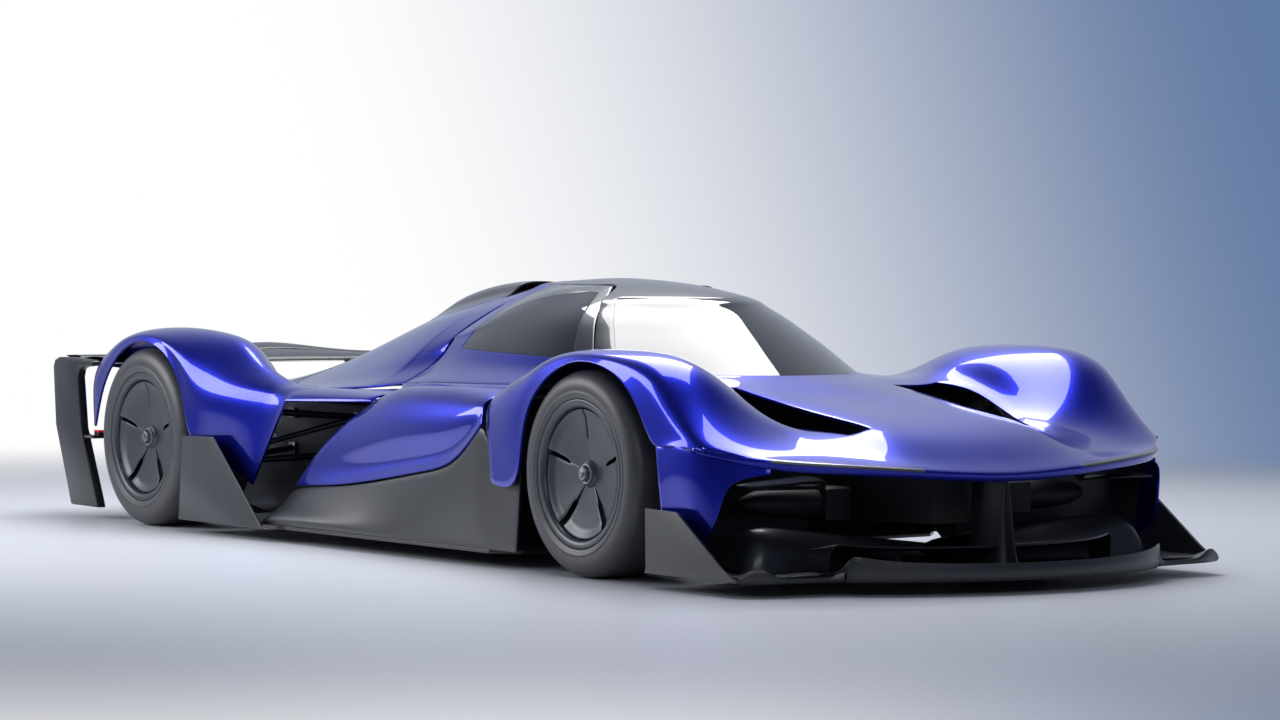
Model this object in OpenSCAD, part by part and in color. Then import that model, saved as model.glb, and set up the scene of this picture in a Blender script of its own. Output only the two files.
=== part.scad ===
// Low two-seat track car with long fenders, a bubble canopy, a two-tier splitter and a rear wing.
// Millimetres. The car faces -Y, its left side is +X, and the floor that it stands on is z = 0.
// Station tables give y from the front axle, or from the rear axle where they say so.

/* [Main sizes] */
// Distance between the axles
wheelbase = 3070; // [2900:10:3200]
// Splitter tip to front axle
front_overhang = 1260; // [1200:10:1320]
// Rear axle to the tail of the endplates
rear_overhang = 790; // [770:10:830]
// Width across the fender sides
body_w = 1960; // [1920:10:2000]
// Height added to the canopy above the door sill
canopy_lift = 0; // [-20:5:40]

/* [Wheels] */
// Tyre diameter
tyre_d = 690; // [670:5:700]
// Front tyre width
front_tyre_w = 300; // [270:5:310]
// Rear tyre width
rear_tyre_w = 340; // [310:5:350]
// Distance of the outer tyre faces inboard of the fender sides
tyre_inset = 5; // [0:1:15]
// Rim flange diameter
rim_d = 494; // [470:2:500]
// Radial gap from the tyre to the wheel arch edge
arch_gap = 32; // [28:1:40]
// Number of slots in a wheel cover
cover_slots = 5; // [4:1:7]
// Width of a wheel cover slot
slot_w = 9; // [6:1:12]
// Radius of the wheel spindle
spindle_r = 32; // [28:1:36]
// Running clearance on pins and spindles
running_gap = 0.05; // [0.02:0.01:0.08]
// Distance from the outer tyre face in to the steering axis
kingpin_inset = 175; // [170:1:185]
// Height of the steering ball pins above and below the axle
kingpin_h = 150; // [145:5:160]
// Radius of the steering pins
kingpin_r = 14; // [12:1:16]

/* [Panels] */
// Thickness of a body panel
panel_t = 9; // [7:1:12]
// Depth of the folded lip under the nose
lip_return = 22; // [15:1:30]
// Thickness of the glass
glass_t = 6; // [5:1:8]
// Shut gap round a door
door_gap = 6; // [5:1:8]
// Gap round bonded glass and between seated parts
seam = 0.3; // [0.3:0.1:0.6]
// Shut line between fixed panels
panel_gap = 4; // [3:0.5:6]
// Thickness of flat carbon plates
plate_t = 12; // [8:1:16]
// Height of the floor above the ground
ride_h = 40; // [35:1:60]

/* [Doors] */
// Distance of the door hinge line from the centre plane
hinge_x = 165; // [155:5:175]
// Height of the door hinge line
hinge_z = 955; // [950:1:960]
// Radius of the door hinge pins
hinge_r = 5; // [4:0.5:6]

/* [Suspension] */
// Outer radius of a wishbone tube
arm_r = 13; // [10:1:16]
// Outer radius of a pushrod
pushrod_r = 11; // [8:1:14]

/* [Hidden] */
$fn = 64;

front_y = front_overhang - (front_overhang + wheelbase + rear_overhang) / 2;
rear_y = front_y + wheelbase;
tail_y = rear_y + rear_overhang;
tyre_span = body_w - 2 * tyre_inset;
kingpin_x = tyre_span / 2 - kingpin_inset;
floor_z = ride_h + 8;
floor_top = floor_z + plate_t;
axle_z = tyre_d / 2;
arch_r = axle_z + arch_gap;
blue = [0.03, 0.05, 0.55];
carbon = [0.12, 0.12, 0.14];
dark = [0.05, 0.05, 0.06];

function mix(a, b, t) = a + (b - a) * t;
function unit(v) = v / max(norm(v), 1e-9);
function column(table, k) = [for (row = table) [row[0], row[k]]];
function flat(rows) = [for (row = rows) each row];
function whole(half) =
  concat(half, [for (k = [len(half) - 1:-1:0]) if (half[k][0] > 0) [-half[k][0], half[k][1]]]);
// Row of points from the centre outward, with its mirror image before it
function both_ways(row) = concat(
  [for (j = [len(row) - 1:-1:1]) [for (k = [0:len(row[j]) - 1]) k == 0 ? -row[j][0] : row[j][k]]], row);
function mirrored(rows) = [for (row = rows) both_ways(row)];

// Outward unit normal of a grid of points at row i and column j
function facing(P, i, j) =
  let (a = P[min(i + 1, len(P) - 1)][j] - P[max(i - 1, 0)][j],
       b = P[i][min(j + 1, len(P[0]) - 1)] - P[i][max(j - 1, 0)])
  unit(cross(b, a));

// Shell between a grid of points and its copy set in by t, over the cells that keep() allows.
// Border points of the kept cells are drawn in by gap, so that neighbours on one grid stay apart.
module skin(P, t, keep = function(i, j) true, gap = 0) {
  rows = len(P) - 1;
  cols = len(P[0]) - 1;
  function at(i, j) = i * (cols + 1) + j;
  function kept(i, j) = i >= 0 && j >= 0 && i < rows && j < cols && keep(i, j);
  // Steps inward from the border of the kept cells, along the grid's own edges
  function count(cells) = len([for (q = cells) if (kept(q[0], q[1])) 1]);
  function step(i, j, di, dj) =
    let (ahead = di != 0 ? [[i + (di - 1) / 2, j - 1], [i + (di - 1) / 2, j]]
                         : [[i - 1, j + (dj - 1) / 2], [i, j + (dj - 1) / 2]],
         behind = di != 0 ? [[i - (di + 1) / 2, j - 1], [i - (di + 1) / 2, j]]
                          : [[i - 1, j - (dj + 1) / 2], [i, j - (dj + 1) / 2]])
    count(ahead) > count(behind) ? gap * unit(P[i + di][j + dj] - P[i][j]) : [0, 0, 0];
  function pull(i, j) = gap == 0 ? [0, 0, 0] :
    step(i, j, 1, 0) + step(i, j, -1, 0) + step(i, j, 0, 1) + step(i, j, 0, -1);
  outer = [for (i = [0:rows]) [for (j = [0:cols]) P[i][j] + pull(i, j)]];
  inner = [for (i = [0:rows]) [for (j = [0:cols]) outer[i][j] - t * facing(P, i, j)]];
  n = (rows + 1) * (cols + 1);
  // Quad of the rim along an edge; its diagonal is the same for the neighbour's rim
  function rim(a, b) = a < b ? [[b, a, a + n], [b, a + n, b + n]] : [[b, a, b + n], [a, a + n, b + n]];
  faces = [
    for (i = [0:rows - 1]) for (j = [0:cols - 1]) if (kept(i, j))
      let (a = at(i, j), b = at(i + 1, j), c = at(i + 1, j + 1), d = at(i, j + 1))
      each concat(
        [[a, b, c], [a, c, d], [a + n, c + n, b + n], [a + n, d + n, c + n]],
        kept(i, j - 1) ? [] : rim(a, b),
        kept(i + 1, j) ? [] : rim(b, c),
        kept(i, j + 1) ? [] : rim(c, d),
        kept(i - 1, j) ? [] : rim(d, a))];
  polyhedron(points = concat(flat(outer), flat(inner)), faces = faces);
}

// Grid whose border points are moved inward by g along the surface
function drawn_in(P, g) =
  let (r = len(P) - 1, c = len(P[0]) - 1)
  [for (i = [0:r]) [for (j = [0:c])
    P[i][j]
    + (i == 0 ? g * unit(P[1][j] - P[0][j]) : i == r ? g * unit(P[r - 1][j] - P[r][j]) : [0, 0, 0])
    + (j == 0 ? g * unit(P[i][1] - P[i][0]) : j == c ? g * unit(P[i][c - 1] - P[i][c]) : [0, 0, 0])]];

// Solid through closed sections with as many points each. Sections advance toward +X,
// and each runs front top, rear top, rear bottom, front bottom.
module loft(S) {
  m = len(S[0]);
  n = len(S);
  faces = concat(
    [for (i = [0:n - 2]) for (j = [0:m - 1])
      let (a = i * m + j, b = i * m + (j + 1) % m)
      each [[a, b, b + m], [a, b + m, a + m]]],
    [for (j = [1:m - 2]) [0, j + 1, j]],
    [for (j = [1:m - 2]) [(n - 1) * m, (n - 1) * m + j, (n - 1) * m + j + 1]]);
  polyhedron(points = flat(S), faces = faces);
}

// Places of a drawn point [x, y, z]: x follows the body width, y the axles
function wide(x) = x * body_w / 1960;
function along(y) = front_y + y + (wheelbase - 3070) * min(max((y - 1500) / 900, 0), 1);
function put(p) = [wide(p[0]), along(p[1]), p[2]];
function put_all(rows) = [for (row = rows) [for (p = row) put(p)]];

module on_left() { children(); }
module on_right() { mirror([1, 0, 0]) children(); }
module both_sides() { children(); mirror([1, 0, 0]) children(); }

// Flat plate in the y-z plane from an outline, t thick from x inward
module side_plate(outline, x, t) {
  translate([x, 0, 0]) rotate([90, 0, 90]) translate([0, 0, -t]) linear_extrude(t) polygon(outline);
}

// Block between two corner points
module block(a, b) {
  translate(a) cube(b - a);
}

// Round bar between two points
module bar(a, b, r) {
  v = b - a;
  translate(a) rotate([0, acos(v[2] / norm(v)), atan2(v[1],
   v[0])]) cylinder(r = r, h = norm(v), $fn = 24);
}

// Canopy

// Rings of the canopy: height, half width, front, widest and rear stations
canopy = [
  [655, 600,  86,  900, 2300],
  [745, 535, 258,  930, 2200],
  [840, 445, 440,  980, 2100],
  [910, 350, 575, 1040, 1950],
  [955, 184, 780, 1090, 1700]];
screen_angles = [0, 20, 40, 57];
pillar_angle = 64;
// Height inside the pillar's shell that its foot on the tub reaches
pillar_z = 652;
roof_stations = [[1080, 976], [1220, 977], [1340, 972], [1450, 966]];

// Point of the canopy at height z, turned a degrees from the front about its widest station
function canopy_point(z, a) =
  let (w = lookup(z, column(canopy, 1)), front = lookup(z, column(canopy, 2)),
       mid = lookup(z, column(canopy, 3)), rear = lookup(z, column(canopy, 4)))
  [w * sin(a), mid - (a < 90 ? mid - front : rear - mid) * cos(a),
   z + canopy_lift * min(max((z - 655) / 300, 0), 1)];

screen_heights = [655, 700, 745, 795, 840, 885, 910];
function screen_rows(angles) = [for (z = screen_heights) [for (a = angles) canopy_point(z, a)]];

// Roof: both pillars and the band over the screen, then the centre panel back to the scoop
function roof_rows() =
  let (edge = concat(screen_angles, [pillar_angle]), last = len(edge) - 1)
  concat(
    screen_rows(edge),
    [[for (a = edge) canopy_point(955, a)]],
    [for (s = roof_stations) [for (k = [0:last])
      let (x = hinge_x * k / last)
      [x, s[0], mix(s[1], hinge_z, pow(x / hinge_x, 2)) + canopy_lift]]]);

// Cells of the roof grid that are glass
screen_last = len(screen_angles) * 2 - 1;
function is_screen(i, j) = i < len(screen_heights) - 1 && j > 0 && j < screen_last;

// Door hinges: stations of the barrels along the roof edge
hinge_stations = [1080, 1340];
barrel_r = hinge_r + 4;
barrel_l = 30;
lug_l = 12;
lug_reach = 25;

module roof() {
  P = put_all(mirrored(roof_rows()));
  foot = [wide(500), along(478)];
  foot_w = 26;
  clearance = 0.4;
  color(dark) {
    difference() {
      skin(P, panel_t, function(i, j) !is_screen(i, j), seam / 2);
      // Room for the barrels of the doors
      both_sides() for (y = hinge_stations) at_hinge(y)
        block([-barrel_r - 5, -barrel_l / 2 - clearance, -20], [20, barrel_l / 2 + clearance, 20]);
    }
    both_sides() {
      // Foot of the pillar on the tub
      block([foot[0], foot[1], tub_top + seam], [foot[0] + foot_w, foot[1] + foot_w, pillar_z]);
      for (y = hinge_stations) at_hinge(y) for (k = [-1, 1])
        translate([0, k * (barrel_l + lug_l + 1) / 2, 0]) {
          rotate([90, 0, 0]) cylinder(r = barrel_r, h = lug_l, center = true);
          block([-lug_reach, -lug_l / 2, -panel_t], [0, lug_l / 2, 0]);
        }
      for (y = hinge_stations) at_hinge(y)
        rotate([90, 0, 0]) cylinder(r = hinge_r, h = barrel_l + lug_l, center = true);
    }
  }
}

module at_hinge(y) {
  translate([wide(hinge_x), along(y), hinge_z + canopy_lift]) children();
}

module windscreen() {
  P = put_all(mirrored(roof_rows()));
  color([0.1, 0.1, 0.12, 0.6]) skin(P, glass_t, function(i, j) is_screen(i, j), seam);
}

// Doors

// Rows of the door from front to rear: angle on the canopy, roof seam station,
// height of the top and the bottom of the glass, sill out from the belt, sill height
door_rows = [
  [ 64.6,  960, 935, 700, 80, 622],
  [ 72.0, 1030, 932, 702, 84, 618],
  [ 84.0, 1130, 930, 706, 90, 612],
  [ 96.0, 1220, 912, 711, 96, 608],
  [107.0, 1310, 866, 717, 102, 604],
  [115.0, 1390, 800, 722, 108, 598],
  [123.0, 1450, 770, 726, 114, 590]];
door_first = 1;
door_last = 5;

function sill_point(r) = let (b = canopy_point(655, r[0])) [b[0] + r[4], b[1] + 20, r[5]];

function door_grid() = [for (r = door_rows)
  let (top = [hinge_x + door_gap, r[1], hinge_z + canopy_lift - 2])
  [top,
   mix(top, canopy_point(r[2], r[0]), 0.5) + [9, 0, 7],
   canopy_point(r[2], r[0]),
   canopy_point(mix(r[2], r[3], 0.33), r[0]),
   canopy_point(mix(r[2], r[3], 0.67), r[0]),
   canopy_point(r[3], r[0]),
   canopy_point(660, r[0]),
   sill_point(r)]];

function is_window(i, j) = i >= door_first && i < door_last && j >= 2 && j < 5;

function door_panel() = drawn_in(put_all(door_grid()), door_gap / 2);

module door() {
  color(blue) {
    difference() {
      skin(door_panel(), panel_t, function(i, j) !is_window(i, j));
      // Room for the roof's lugs at the ends of each barrel
      for (y = hinge_stations) at_hinge(y)
        block([-10, -barrel_l / 2 - lug_l - 6, -25], [barrel_r + 7, barrel_l / 2 + lug_l + 6, 25]);
    }
    for (y = hinge_stations) at_hinge(y) {
      difference() {
        union() {
          rotate([90, 0, 0]) cylinder(r = barrel_r, h = barrel_l, center = true);
          block([0, -barrel_l / 2, -panel_t], [40, barrel_l / 2, 0]);
        }
        rotate([90, 0, 0]) cylinder(r = hinge_r + running_gap, h = barrel_l + 2, center = true);
      }
    }
  }
}

module door_glass() {
  color([0.1, 0.1, 0.12, 0.6])
    skin(door_panel(), glass_t, function(i, j) is_window(i, j), 2 * seam);
}

// Front clamshell

// Edge of the wheel arch: angle up from the rear horizontal, radius past arch_r
front_arch = [[-10, 2], [30, -6], [60, -12], [95, -4], [130, 30], [150, 44], [166, 74], [190, 104]];
function front_arch_point(a) =
  let (r = arch_r + lookup(a, front_arch)) [970, r * cos(a), axle_z + r * sin(a)];

// Rows from the nose lip to the trailing edge.
// Columns: spine y z, flank x y z, inner nostril edge x y z, outer nostril edge x y z,
// slope x y z, crest x y z, shoulder x y z, lip point
function nose_row(s, f, n, o, c, k, h, lip) =
  [[0, s[0], s[1]], f, n, o, c, k, h, mix(h, lip, 0.55) + [6, 0, 0], lip];

clam_crease = nose_row([-1066, 367], [165, -1059, 372], [330, -1039, 382], [470, -1006, 391],
           [650, -944, 403], [800, -856, 415], [892, -752, 428], [956, -665, 448]);
clam = [
  [for (k = [0:len(clam_crease) - 1]) clam_crease[k]
    + [-clam_crease[k][0] * 0.004, 10, -lip_return] * (k < 6 ? 1 : 0.3)],
  clam_crease,
  [for (p = clam_crease) p + [0, 14, 13]],
  nose_row([-985, 410], [160, -980, 414], [325, -955, 420], [450, -925, 418],
           [640, -860, 425], [800, -795, 440], [918, -715, 456], [965, -610, 452]),
  nose_row([-880, 468], [155, -875, 470], [325, -850, 472], [425, -820, 458],
           [630, -760, 460], [800, -700, 492], [932, -625, 512], [968, -535, 466]),
  nose_row([-750, 508], [150, -745, 510], [330, -740, 512], [385, -735, 492],
           [620, -660, 492], [795, -590, 582], [938, -520, 600], front_arch_point(166)),
  nose_row([-620, 534], [148, -615, 536], [334, -600, 538], [455, -590, 496],
           [630, -540, 560], [795, -490, 688], [938, -425, 682], front_arch_point(148)),
  nose_row([-480, 556], [146, -470, 558], [335, -440, 561], [515, -440, 514],
           [635, -400, 640], [800, -340, 742], [935, -290, 728], front_arch_point(126)),
  nose_row([-330, 578], [146, -320, 580], [335, -290, 582], [545, -290, 560],
           [632, -240, 700], [800, -130, 755], [935, -100, 746], front_arch_point(101)),
  nose_row([-190, 602], [148, -180, 602], [334, -140, 602], [560, -150, 603],
           [632, -80, 706], [800, 70, 752], [935, 80, 744], front_arch_point(76)),
  nose_row([-70, 626], [152, -55, 625], [325, 0, 622], [540, 0, 622],
           [636, 100, 690], [800, 250, 733], [935, 240, 716], front_arch_point(51)),
  nose_row([20, 643], [157, 45, 641], [318, 120, 638], [490, 160, 636],
           [665, 270, 648], [805, 410, 688], [937, 370, 660], front_arch_point(25)),
  nose_row([60, 650], [158, 85, 649], [315, 180, 646], [480, 290, 642],
           [675, 420, 636], [825, 540, 645], [940, 480, 604], front_arch_point(-8)),
  nose_row([86, 655], canopy_point(655, screen_angles[1]), canopy_point(655, screen_angles[2]),
           canopy_point(655, screen_angles[3]),
           [625, 560, 625], [800, 640, 597], [905, 655, 562], [966, 470, 291])];

// Nostril over the suspension, from its pointed tip back to the cowl, and lamp strip on the nose
clam_mid = len(clam[0]) - 1;
function from_middle(j) = j >= clam_mid ? j - clam_mid : clam_mid - 1 - j;
function is_nostril(i, j) = from_middle(j) == 2 && i >= 5 && i < 10;
function is_lamp(i, j) = i == 1 && from_middle(j) >= 2 && from_middle(j) < 5;
function is_fold(i, j) = i == 0 && from_middle(j) >= 6;

// Lower fender ahead of the wheel: rows from the nose lip back to the arch, columns downward.
// The last column is the foot of the rear rows on the splitter.
cheek = [
  [[799, -846, 388], [799, -846, 385], [799, -846, 382], [799, -846, 379], [799, -846, 61]],
  [[886, -748, 416], [890, -752, 398], [892, -758, 374], [892, -762, 350], [892, -762, 61]],
  [[918, -708, 424], [921, -714, 380], [918, -724, 322], [912, -735, 265], [912, -735, 61]],
  [[946, -662, 436], [946, -662, 362], [938, -680, 272], [930, -700, 190], [930, -700, 61]],
  [[958, -608, 440], [957, -602, 345], [947, -625, 240], [938, -648, 138], [938, -648, 61]],
  [[962, -533, 452], [962, -530, 355], [951, -555, 232], [941, -590, 110],
   [941, -590, floor_top + seam]],
  [[965, -440, 440], [967, -462, 350], [961, -480, 225], [951, -500, 100],
   [951, -500, floor_top + seam]]];

module cheeks() {
  color(blue) both_sides() skin(put_all(cheek), panel_t, function(i, j) j < 3 || i >= 5);
}

nose_stay_top = 559;
cowl_stay_top = 641;

module front_clamshell() {
  P = put_all(mirrored(clam));
  color(blue) {
    skin(P, panel_t, function(i, j) !is_nostril(i, j) && !is_lamp(i, j) && !is_fold(i, j));
    // Stays on the tub, up into the shell: one pair on its nose and one at the cowl
    translate([0, front_y, 0]) both_sides() {
      block([90, -440, tub_nose_z[1] + seam], [106, -424, nose_stay_top]);
      block([206, 98, tub_top + seam], [214, 108, cowl_stay_top]);
    }
  }
}

module front_lamps() {
  color([0.85, 0.88, 0.9])
    skin(put_all(mirrored(clam)), panel_t, function(i, j) is_lamp(i, j), 2 * seam);
}

// Nose keel: the strut from the splitter up to the nose
keel_t = 26;
tub_tip = 850;

module nose_keel() {
  lean = [[-1105, floor_top + seam], [-1085, 130], [-1055, 330], [-1030, 366], [-tub_tip - seam, 400],
          [-tub_tip - seam, 330], [-960, floor_top + seam]];
  color(carbon) translate([0, front_y, 0]) side_plate(lean, keel_t / 2, keel_t);
}

// Splitter

// Leading edge of the lower tier and of the upper tier: x, y, height of the top edge
lead = [[0, -1260, 100], [200, -1245, 101], [400, -1190, 105], [560, -1115, 112], [640, -1060, 118]];
lip_depth = 150;
flap_lead = [[0, -1030, 140], [200, -1020, 141], [400, -970, 144], [520, -915, 150], [575, -870, 156]];

// Sections along an edge that is drawn for the left half: outline of [back from the edge, height]
function edge_sections(edge, outline) = [for (p = both_ways(edge))
  [for (v = outline(p)) put([p[0], p[1] + v[0], v[1]])]];

module splitter() {
  // The plate starts behind the lip
  behind = [for (p = lead) [p[0], p[1] + lip_depth + seam]];
  outer = [[641, -910], [641, -1035], [690, -1010], [905, -985], [1000, -940],
           [1000, -440], [660, -440], [560, -375], [0, -375]];
  fin = [[-439, 257], [-614, 253], [-851, 95], [-935, 50], [-444, 50]];
  color(carbon) {
    extruded(concat(behind, outer), floor_z, floor_top);
    both_sides() translate([0, front_y, 0]) side_plate(fin, wide(1000), 10);
    loft(edge_sections(lead, function(p)
      [[0, p[2]], [16, p[2] - 2], [70, 72], [lip_depth, 60], [lip_depth, 49], [30, 44], [6, 60]]));
  }
}

// Upper tier: one blade on each side of the keel, standing on its rounded outer end
module splitter_flap() {
  edge = concat([[keel_t / 2 + seam, -1030, 140]], [for (k = [1:len(flap_lead) - 1]) flap_lead[k]]);
  color(carbon) both_sides() {
    loft([for (p = edge) [for (v = flap_outline(p)) put([p[0], p[1] + v[0], v[1]])]]);
    translate([0, front_y, 0]) side_plate([[-868, floor_top + seam], [-862, 130], [-850, 148],
     [-760, 140],
      [-600, 116], [-590, floor_top + seam]], wide(575), 10);
  }
}

function flap_outline(p) =
  [[0, p[2]], [25, p[2] + 1], [140, p[2] - 14], [300, 118], [300, 114], [140, p[2] - 30], [8, p[2] - 12]];

// Monocoque with the footwell, cockpit, sills and the hoop behind the seats
tub_half_w = 540;
tub_nose_w = 240;
tub_wall = 60;
tub_top = 600;
tub_back = 1620;
tub_nose_z = [200, 440];
sill_top = 570;
hoop_y = 1482;
hoop_t = 18;
hoop_top = 920;

module tub() {
  nose = [[0, -tub_tip], [150, -tub_tip], [tub_nose_w, -600], [tub_nose_w, 60], [0, 60]];
  body = [[0, 0], [tub_nose_w, 0], [tub_nose_w, 300], [tub_half_w, 470], [tub_half_w, tub_back],
          [0, tub_back]];
  hollow = [[0, 60], [tub_nose_w - 40, 60], [tub_nose_w - 40, 330], [tub_half_w - tub_wall, 500],
            [tub_half_w - tub_wall, 1440], [0, 1440]];
  sill = [[0, 500], [tub_half_w, 500], [680, 640], [730, 800], [735, 1280], [690, 1500], [620, tub_back],
          [0, tub_back]];
  hoop = [[0, tub_top - 5], [500, tub_top - 5], [512, 655], [472, 716], [412, 782], [292, 850],
   [220, 880],
          [150, hoop_top], [0, hoop_top]];
  color(carbon) difference() {
    union() {
      extruded(nose, tub_nose_z[0], tub_nose_z[1]);
      extruded(body, floor_top + seam, tub_top);
      extruded(sill, sill_top - 50, sill_top);
      translate([0, along(hoop_y) + hoop_t, canopy_lift]) rotate([90, 0, 0])
        linear_extrude(hoop_t) polygon([for (p = whole(hoop)) [wide(p[0]), p[1]]]);
    }
    extruded(hollow, 110, tub_top + 1);
  }
}

// Left-half outline drawn in plan, mirrored and raised from one height to another
module extruded(half, from, to) {
  translate([0, 0, from]) linear_extrude(to - from)
    polygon([for (p = whole(half)) [wide(p[0]), along(p[1])]]);
}

floor_half_w = 981.7;

module floor() {
  half = [[0, -375 + seam], [560, -375 + seam], [560, 440], [880, 480], [960, 560], [960, 1960],
          [floor_half_w, 1985], [floor_half_w, 2690], [600, 2690], [0, 2690]];
  color(carbon) {
    extruded(half, floor_z, floor_top);
    // Jacking pads
    both_sides() for (y = [300, 2200]) translate([450, along(y), floor_z - 6]) cylinder(r = 30, h = 7);
  }
}

// Diffuser between the rear tyres, with two strakes inside its side plates
strake_t = 10;
diffuser_half_w = tyre_span / 2 - rear_tyre_w - 35;

module diffuser() {
  // Curve of the tunnel roof: station from the rear axle, height
  roofline = [[-380 + seam, 60], [-200, 85], [0, 130], [200, 200], [420, 300], [520, 340]];
  across = [for (k = [-1, -1 / 3, 1 / 3, 1]) k * diffuser_half_w];
  P = [for (p = roofline) [for (x = across) [x, rear_y + p[0], p[1]]]];
  color(carbon) {
    skin(P, plate_t);
    for (x = across) translate([0, rear_y, 0])
      side_plate([[-360, 52], [460, 52], [510, 330], [420, 290], [200, 190], [0, 120], [-200, 75]],
                 x + strake_t / 2, strake_t);
  }
}

// Engine cover and the scoop on it, from the roof to the tail.
// Columns: centre, scoop top, scoop shoulder, scoop base, then outward to the edge by the fender.
// The first row follows the rear edges of the doors.
cover_edge = [for (j = [1, 2, 5, 6, 7]) door_grid()[len(door_rows) - 1][j] + [1, door_gap + 1, -1]];
cover_body = [
  [[0, 1743, 976], [60, 1743, 972], [108, 1743, 950], [145, 1745, 912], [285, 1775, 850],
   [410, 1800, 765], [495, 1840, 680], [560, 1870, 615], [655, 1890, 572]],
  [[0, 1966, 958], [56, 1966, 952], [98, 1966, 925], [130, 1966, 880], [278, 1980, 820],
   [396, 1990, 735], [486, 2010, 655], [560, 2020, 597], [652, 2030, 564]],
  [[0, 2216, 905], [42, 2216, 900], [72, 2216, 872], [102, 2216, 838], [262, 2220, 766],
   [374, 2230, 686], [472, 2240, 616], [556, 2250, 572], [648, 2260, 552]],
  [[0, 2400, 830], [30, 2400, 822], [55, 2400, 806], [90, 2400, 792], [250, 2410, 720],
   [360, 2420, 650], [460, 2430, 590], [550, 2440, 556], [645, 2450, 545]],
  [[0, 2750, 712], [25, 2750, 706], [50, 2750, 696], [85, 2750, 688], [225, 2750, 638],
   [330, 2750, 590], [430, 2750, 556], [510, 2750, 543], [582, 2750, 540]],
  [[0, 3100, 612], [25, 3100, 609], [50, 3100, 605], [85, 3100, 600], [210, 3100, 572],
   [310, 3100, 552], [410, 3100, 540], [510, 3100, 534], [580, 3100, 532]],
  [[0, 3430, 540], [25, 3430, 539], [50, 3430, 538], [85, 3430, 535], [200, 3430, 528],
   [300, 3430, 522], [400, 3430, 518], [500, 3430, 515], [584, 3430, 512]]];
function cover_between(t) = [for (k = [0:4]) mix(cover_edge[k], cover_body[0][k + 4], t)];
cover = concat([
  concat([[0, 1457, 957], [50, 1457, 956], [100, 1457, 952], [166, 1457, 946]], cover_edge),
  concat([[0, 1550, 950], [50, 1550, 949], [98, 1550, 943], [160, 1552, 934]], cover_between(0.27)),
  concat([[0, 1560, 986], [58, 1560, 983], [104, 1562, 968], [152, 1565, 933]], cover_between(0.31))],
  cover_body);
cover_mid = len(cover[0]) - 1;
function is_scoop(i, j) = i >= 1 && i < 6 && abs(j + 0.5 - cover_mid) < 3;

hoop_stay_top = 948;
tail_stay_top = 599;

module engine_cover() {
  color(blue) {
    skin(put_all(mirrored(cover)), panel_t, function(i, j) !is_scoop(i, j));
    // Stays on the hoop and on the gearbox
    translate([0, along(hoop_y), canopy_lift]) both_sides()
      block([40, 1, hoop_top + seam], [60, hoop_t - 1, hoop_stay_top]);
    translate([0, rear_y, 0]) both_sides() block([60, 20, gearbox_top + seam], [80, 40, tail_stay_top]);
  }
}

module roof_scoop() {
  color(dark) skin(put_all(mirrored(cover)), panel_t, function(i, j) is_scoop(i, j) && i > 1, seam);
}

// Rear fenders

rear_arch = [[-10, 10], [25, -6], [60, -12], [90, -4], [120, 2], [150, 6], [182, 32]];
function rear_arch_point(a) =
  let (r = arch_r + lookup(a, rear_arch)) [970, 3070 + r * cos(a), axle_z + r * sin(a)];

function fender_row(foot, slope, crest, shoulder, lip) =
  [foot, slope, crest, shoulder, mix(shoulder, lip, 0.5) + [6, 0, 0], lip];

rear_fender_rows = [
  fender_row([690, 1560, 556], [750, 1560, 558], [800, 1550, 556], [832, 1545, 548], [870, 1540, 480]),
  fender_row([668, 1900, 560], [740, 1900, 564], [800, 1900, 562], [850, 1895, 548], [890, 1890, 480]),
  fender_row([660, 2200, 552], [735, 2200, 562], [800, 2200, 566], [884, 2215, 530], [862, 2285, 232]),
  fender_row([655, 2390, 548], [730, 2390, 582], [800, 2395, 640], [930, 2410, 560], [930, 2440, 262]),
  fender_row([622, 2560, 550], [680, 2560, 640], [800, 2565, 728], [950, 2590, 590],
   rear_arch_point(182)),
  fender_row([592, 2730, 552], [622, 2725, 676], [800, 2720, 757], [948, 2730, 668],
   rear_arch_point(152)),
  fender_row([590, 2900, 552], [618, 2900, 702], [800, 2900, 769], [940, 2885, 728],
   rear_arch_point(121)),
  fender_row([588, 3090, 546], [618, 3090, 712], [800, 3090, 767], [938, 3080, 748], rear_arch_point(90)),
  fender_row([590, 3260, 538], [618, 3262, 690], [812, 3275, 747], [938, 3270, 720], rear_arch_point(60)),
  fender_row([594, 3390, 528], [628, 3400, 640], [832, 3415, 706], [940, 3410, 652], rear_arch_point(30)),
  fender_row([600, 3470, 518], [650, 3480, 592], [850, 3490, 650], [942, 3488, 602], rear_arch_point(4)),
  fender_row([606, 3505, 505], [680, 3512, 552], [865, 3516, 610], [935, 3516, 560], [934, 3528, 392])];

fender_stay_top = 577;

module rear_fender() {
  color(blue) {
    skin(put_all(rear_fender_rows), panel_t);
    // Stay on the floor
    block([wide(738), along(2326), floor_top + seam], [wide(748), along(2336), fender_stay_top]);
  }
}

// Sidepods: rows follow the door sill; columns are inner shoulder, crease, side and lower edge
pod = [
  [[745, 640, 604], [892, 668, 572], [922, 640, 530], [940, 622, 489]],
  [[755, 715, 604], [898, 730, 577], [930, 720, 505], [944, 705, 430]],
  [[765, 860, 604], [895, 880, 579], [928, 870, 470], [942, 850, 335]],
  [[768, 1060, 602], [885, 1080, 575], [918, 1070, 430], [930, 1060, 250]],
  [[762, 1290, 597], [872, 1290, 557], [898, 1310, 400], [905, 1330, 214]],
  [[745, 1430, 585], [850, 1430, 548], [872, 1560, 385], [878, 1680, 190]],
  [[725, 1540, 566], [828, 1535, 540], [838, 1790, 375], [810, 2110, 195]]];

// Station and top of the stays under a sidepod
pod_stays = [[822, 604], [1242, 597]];

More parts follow.
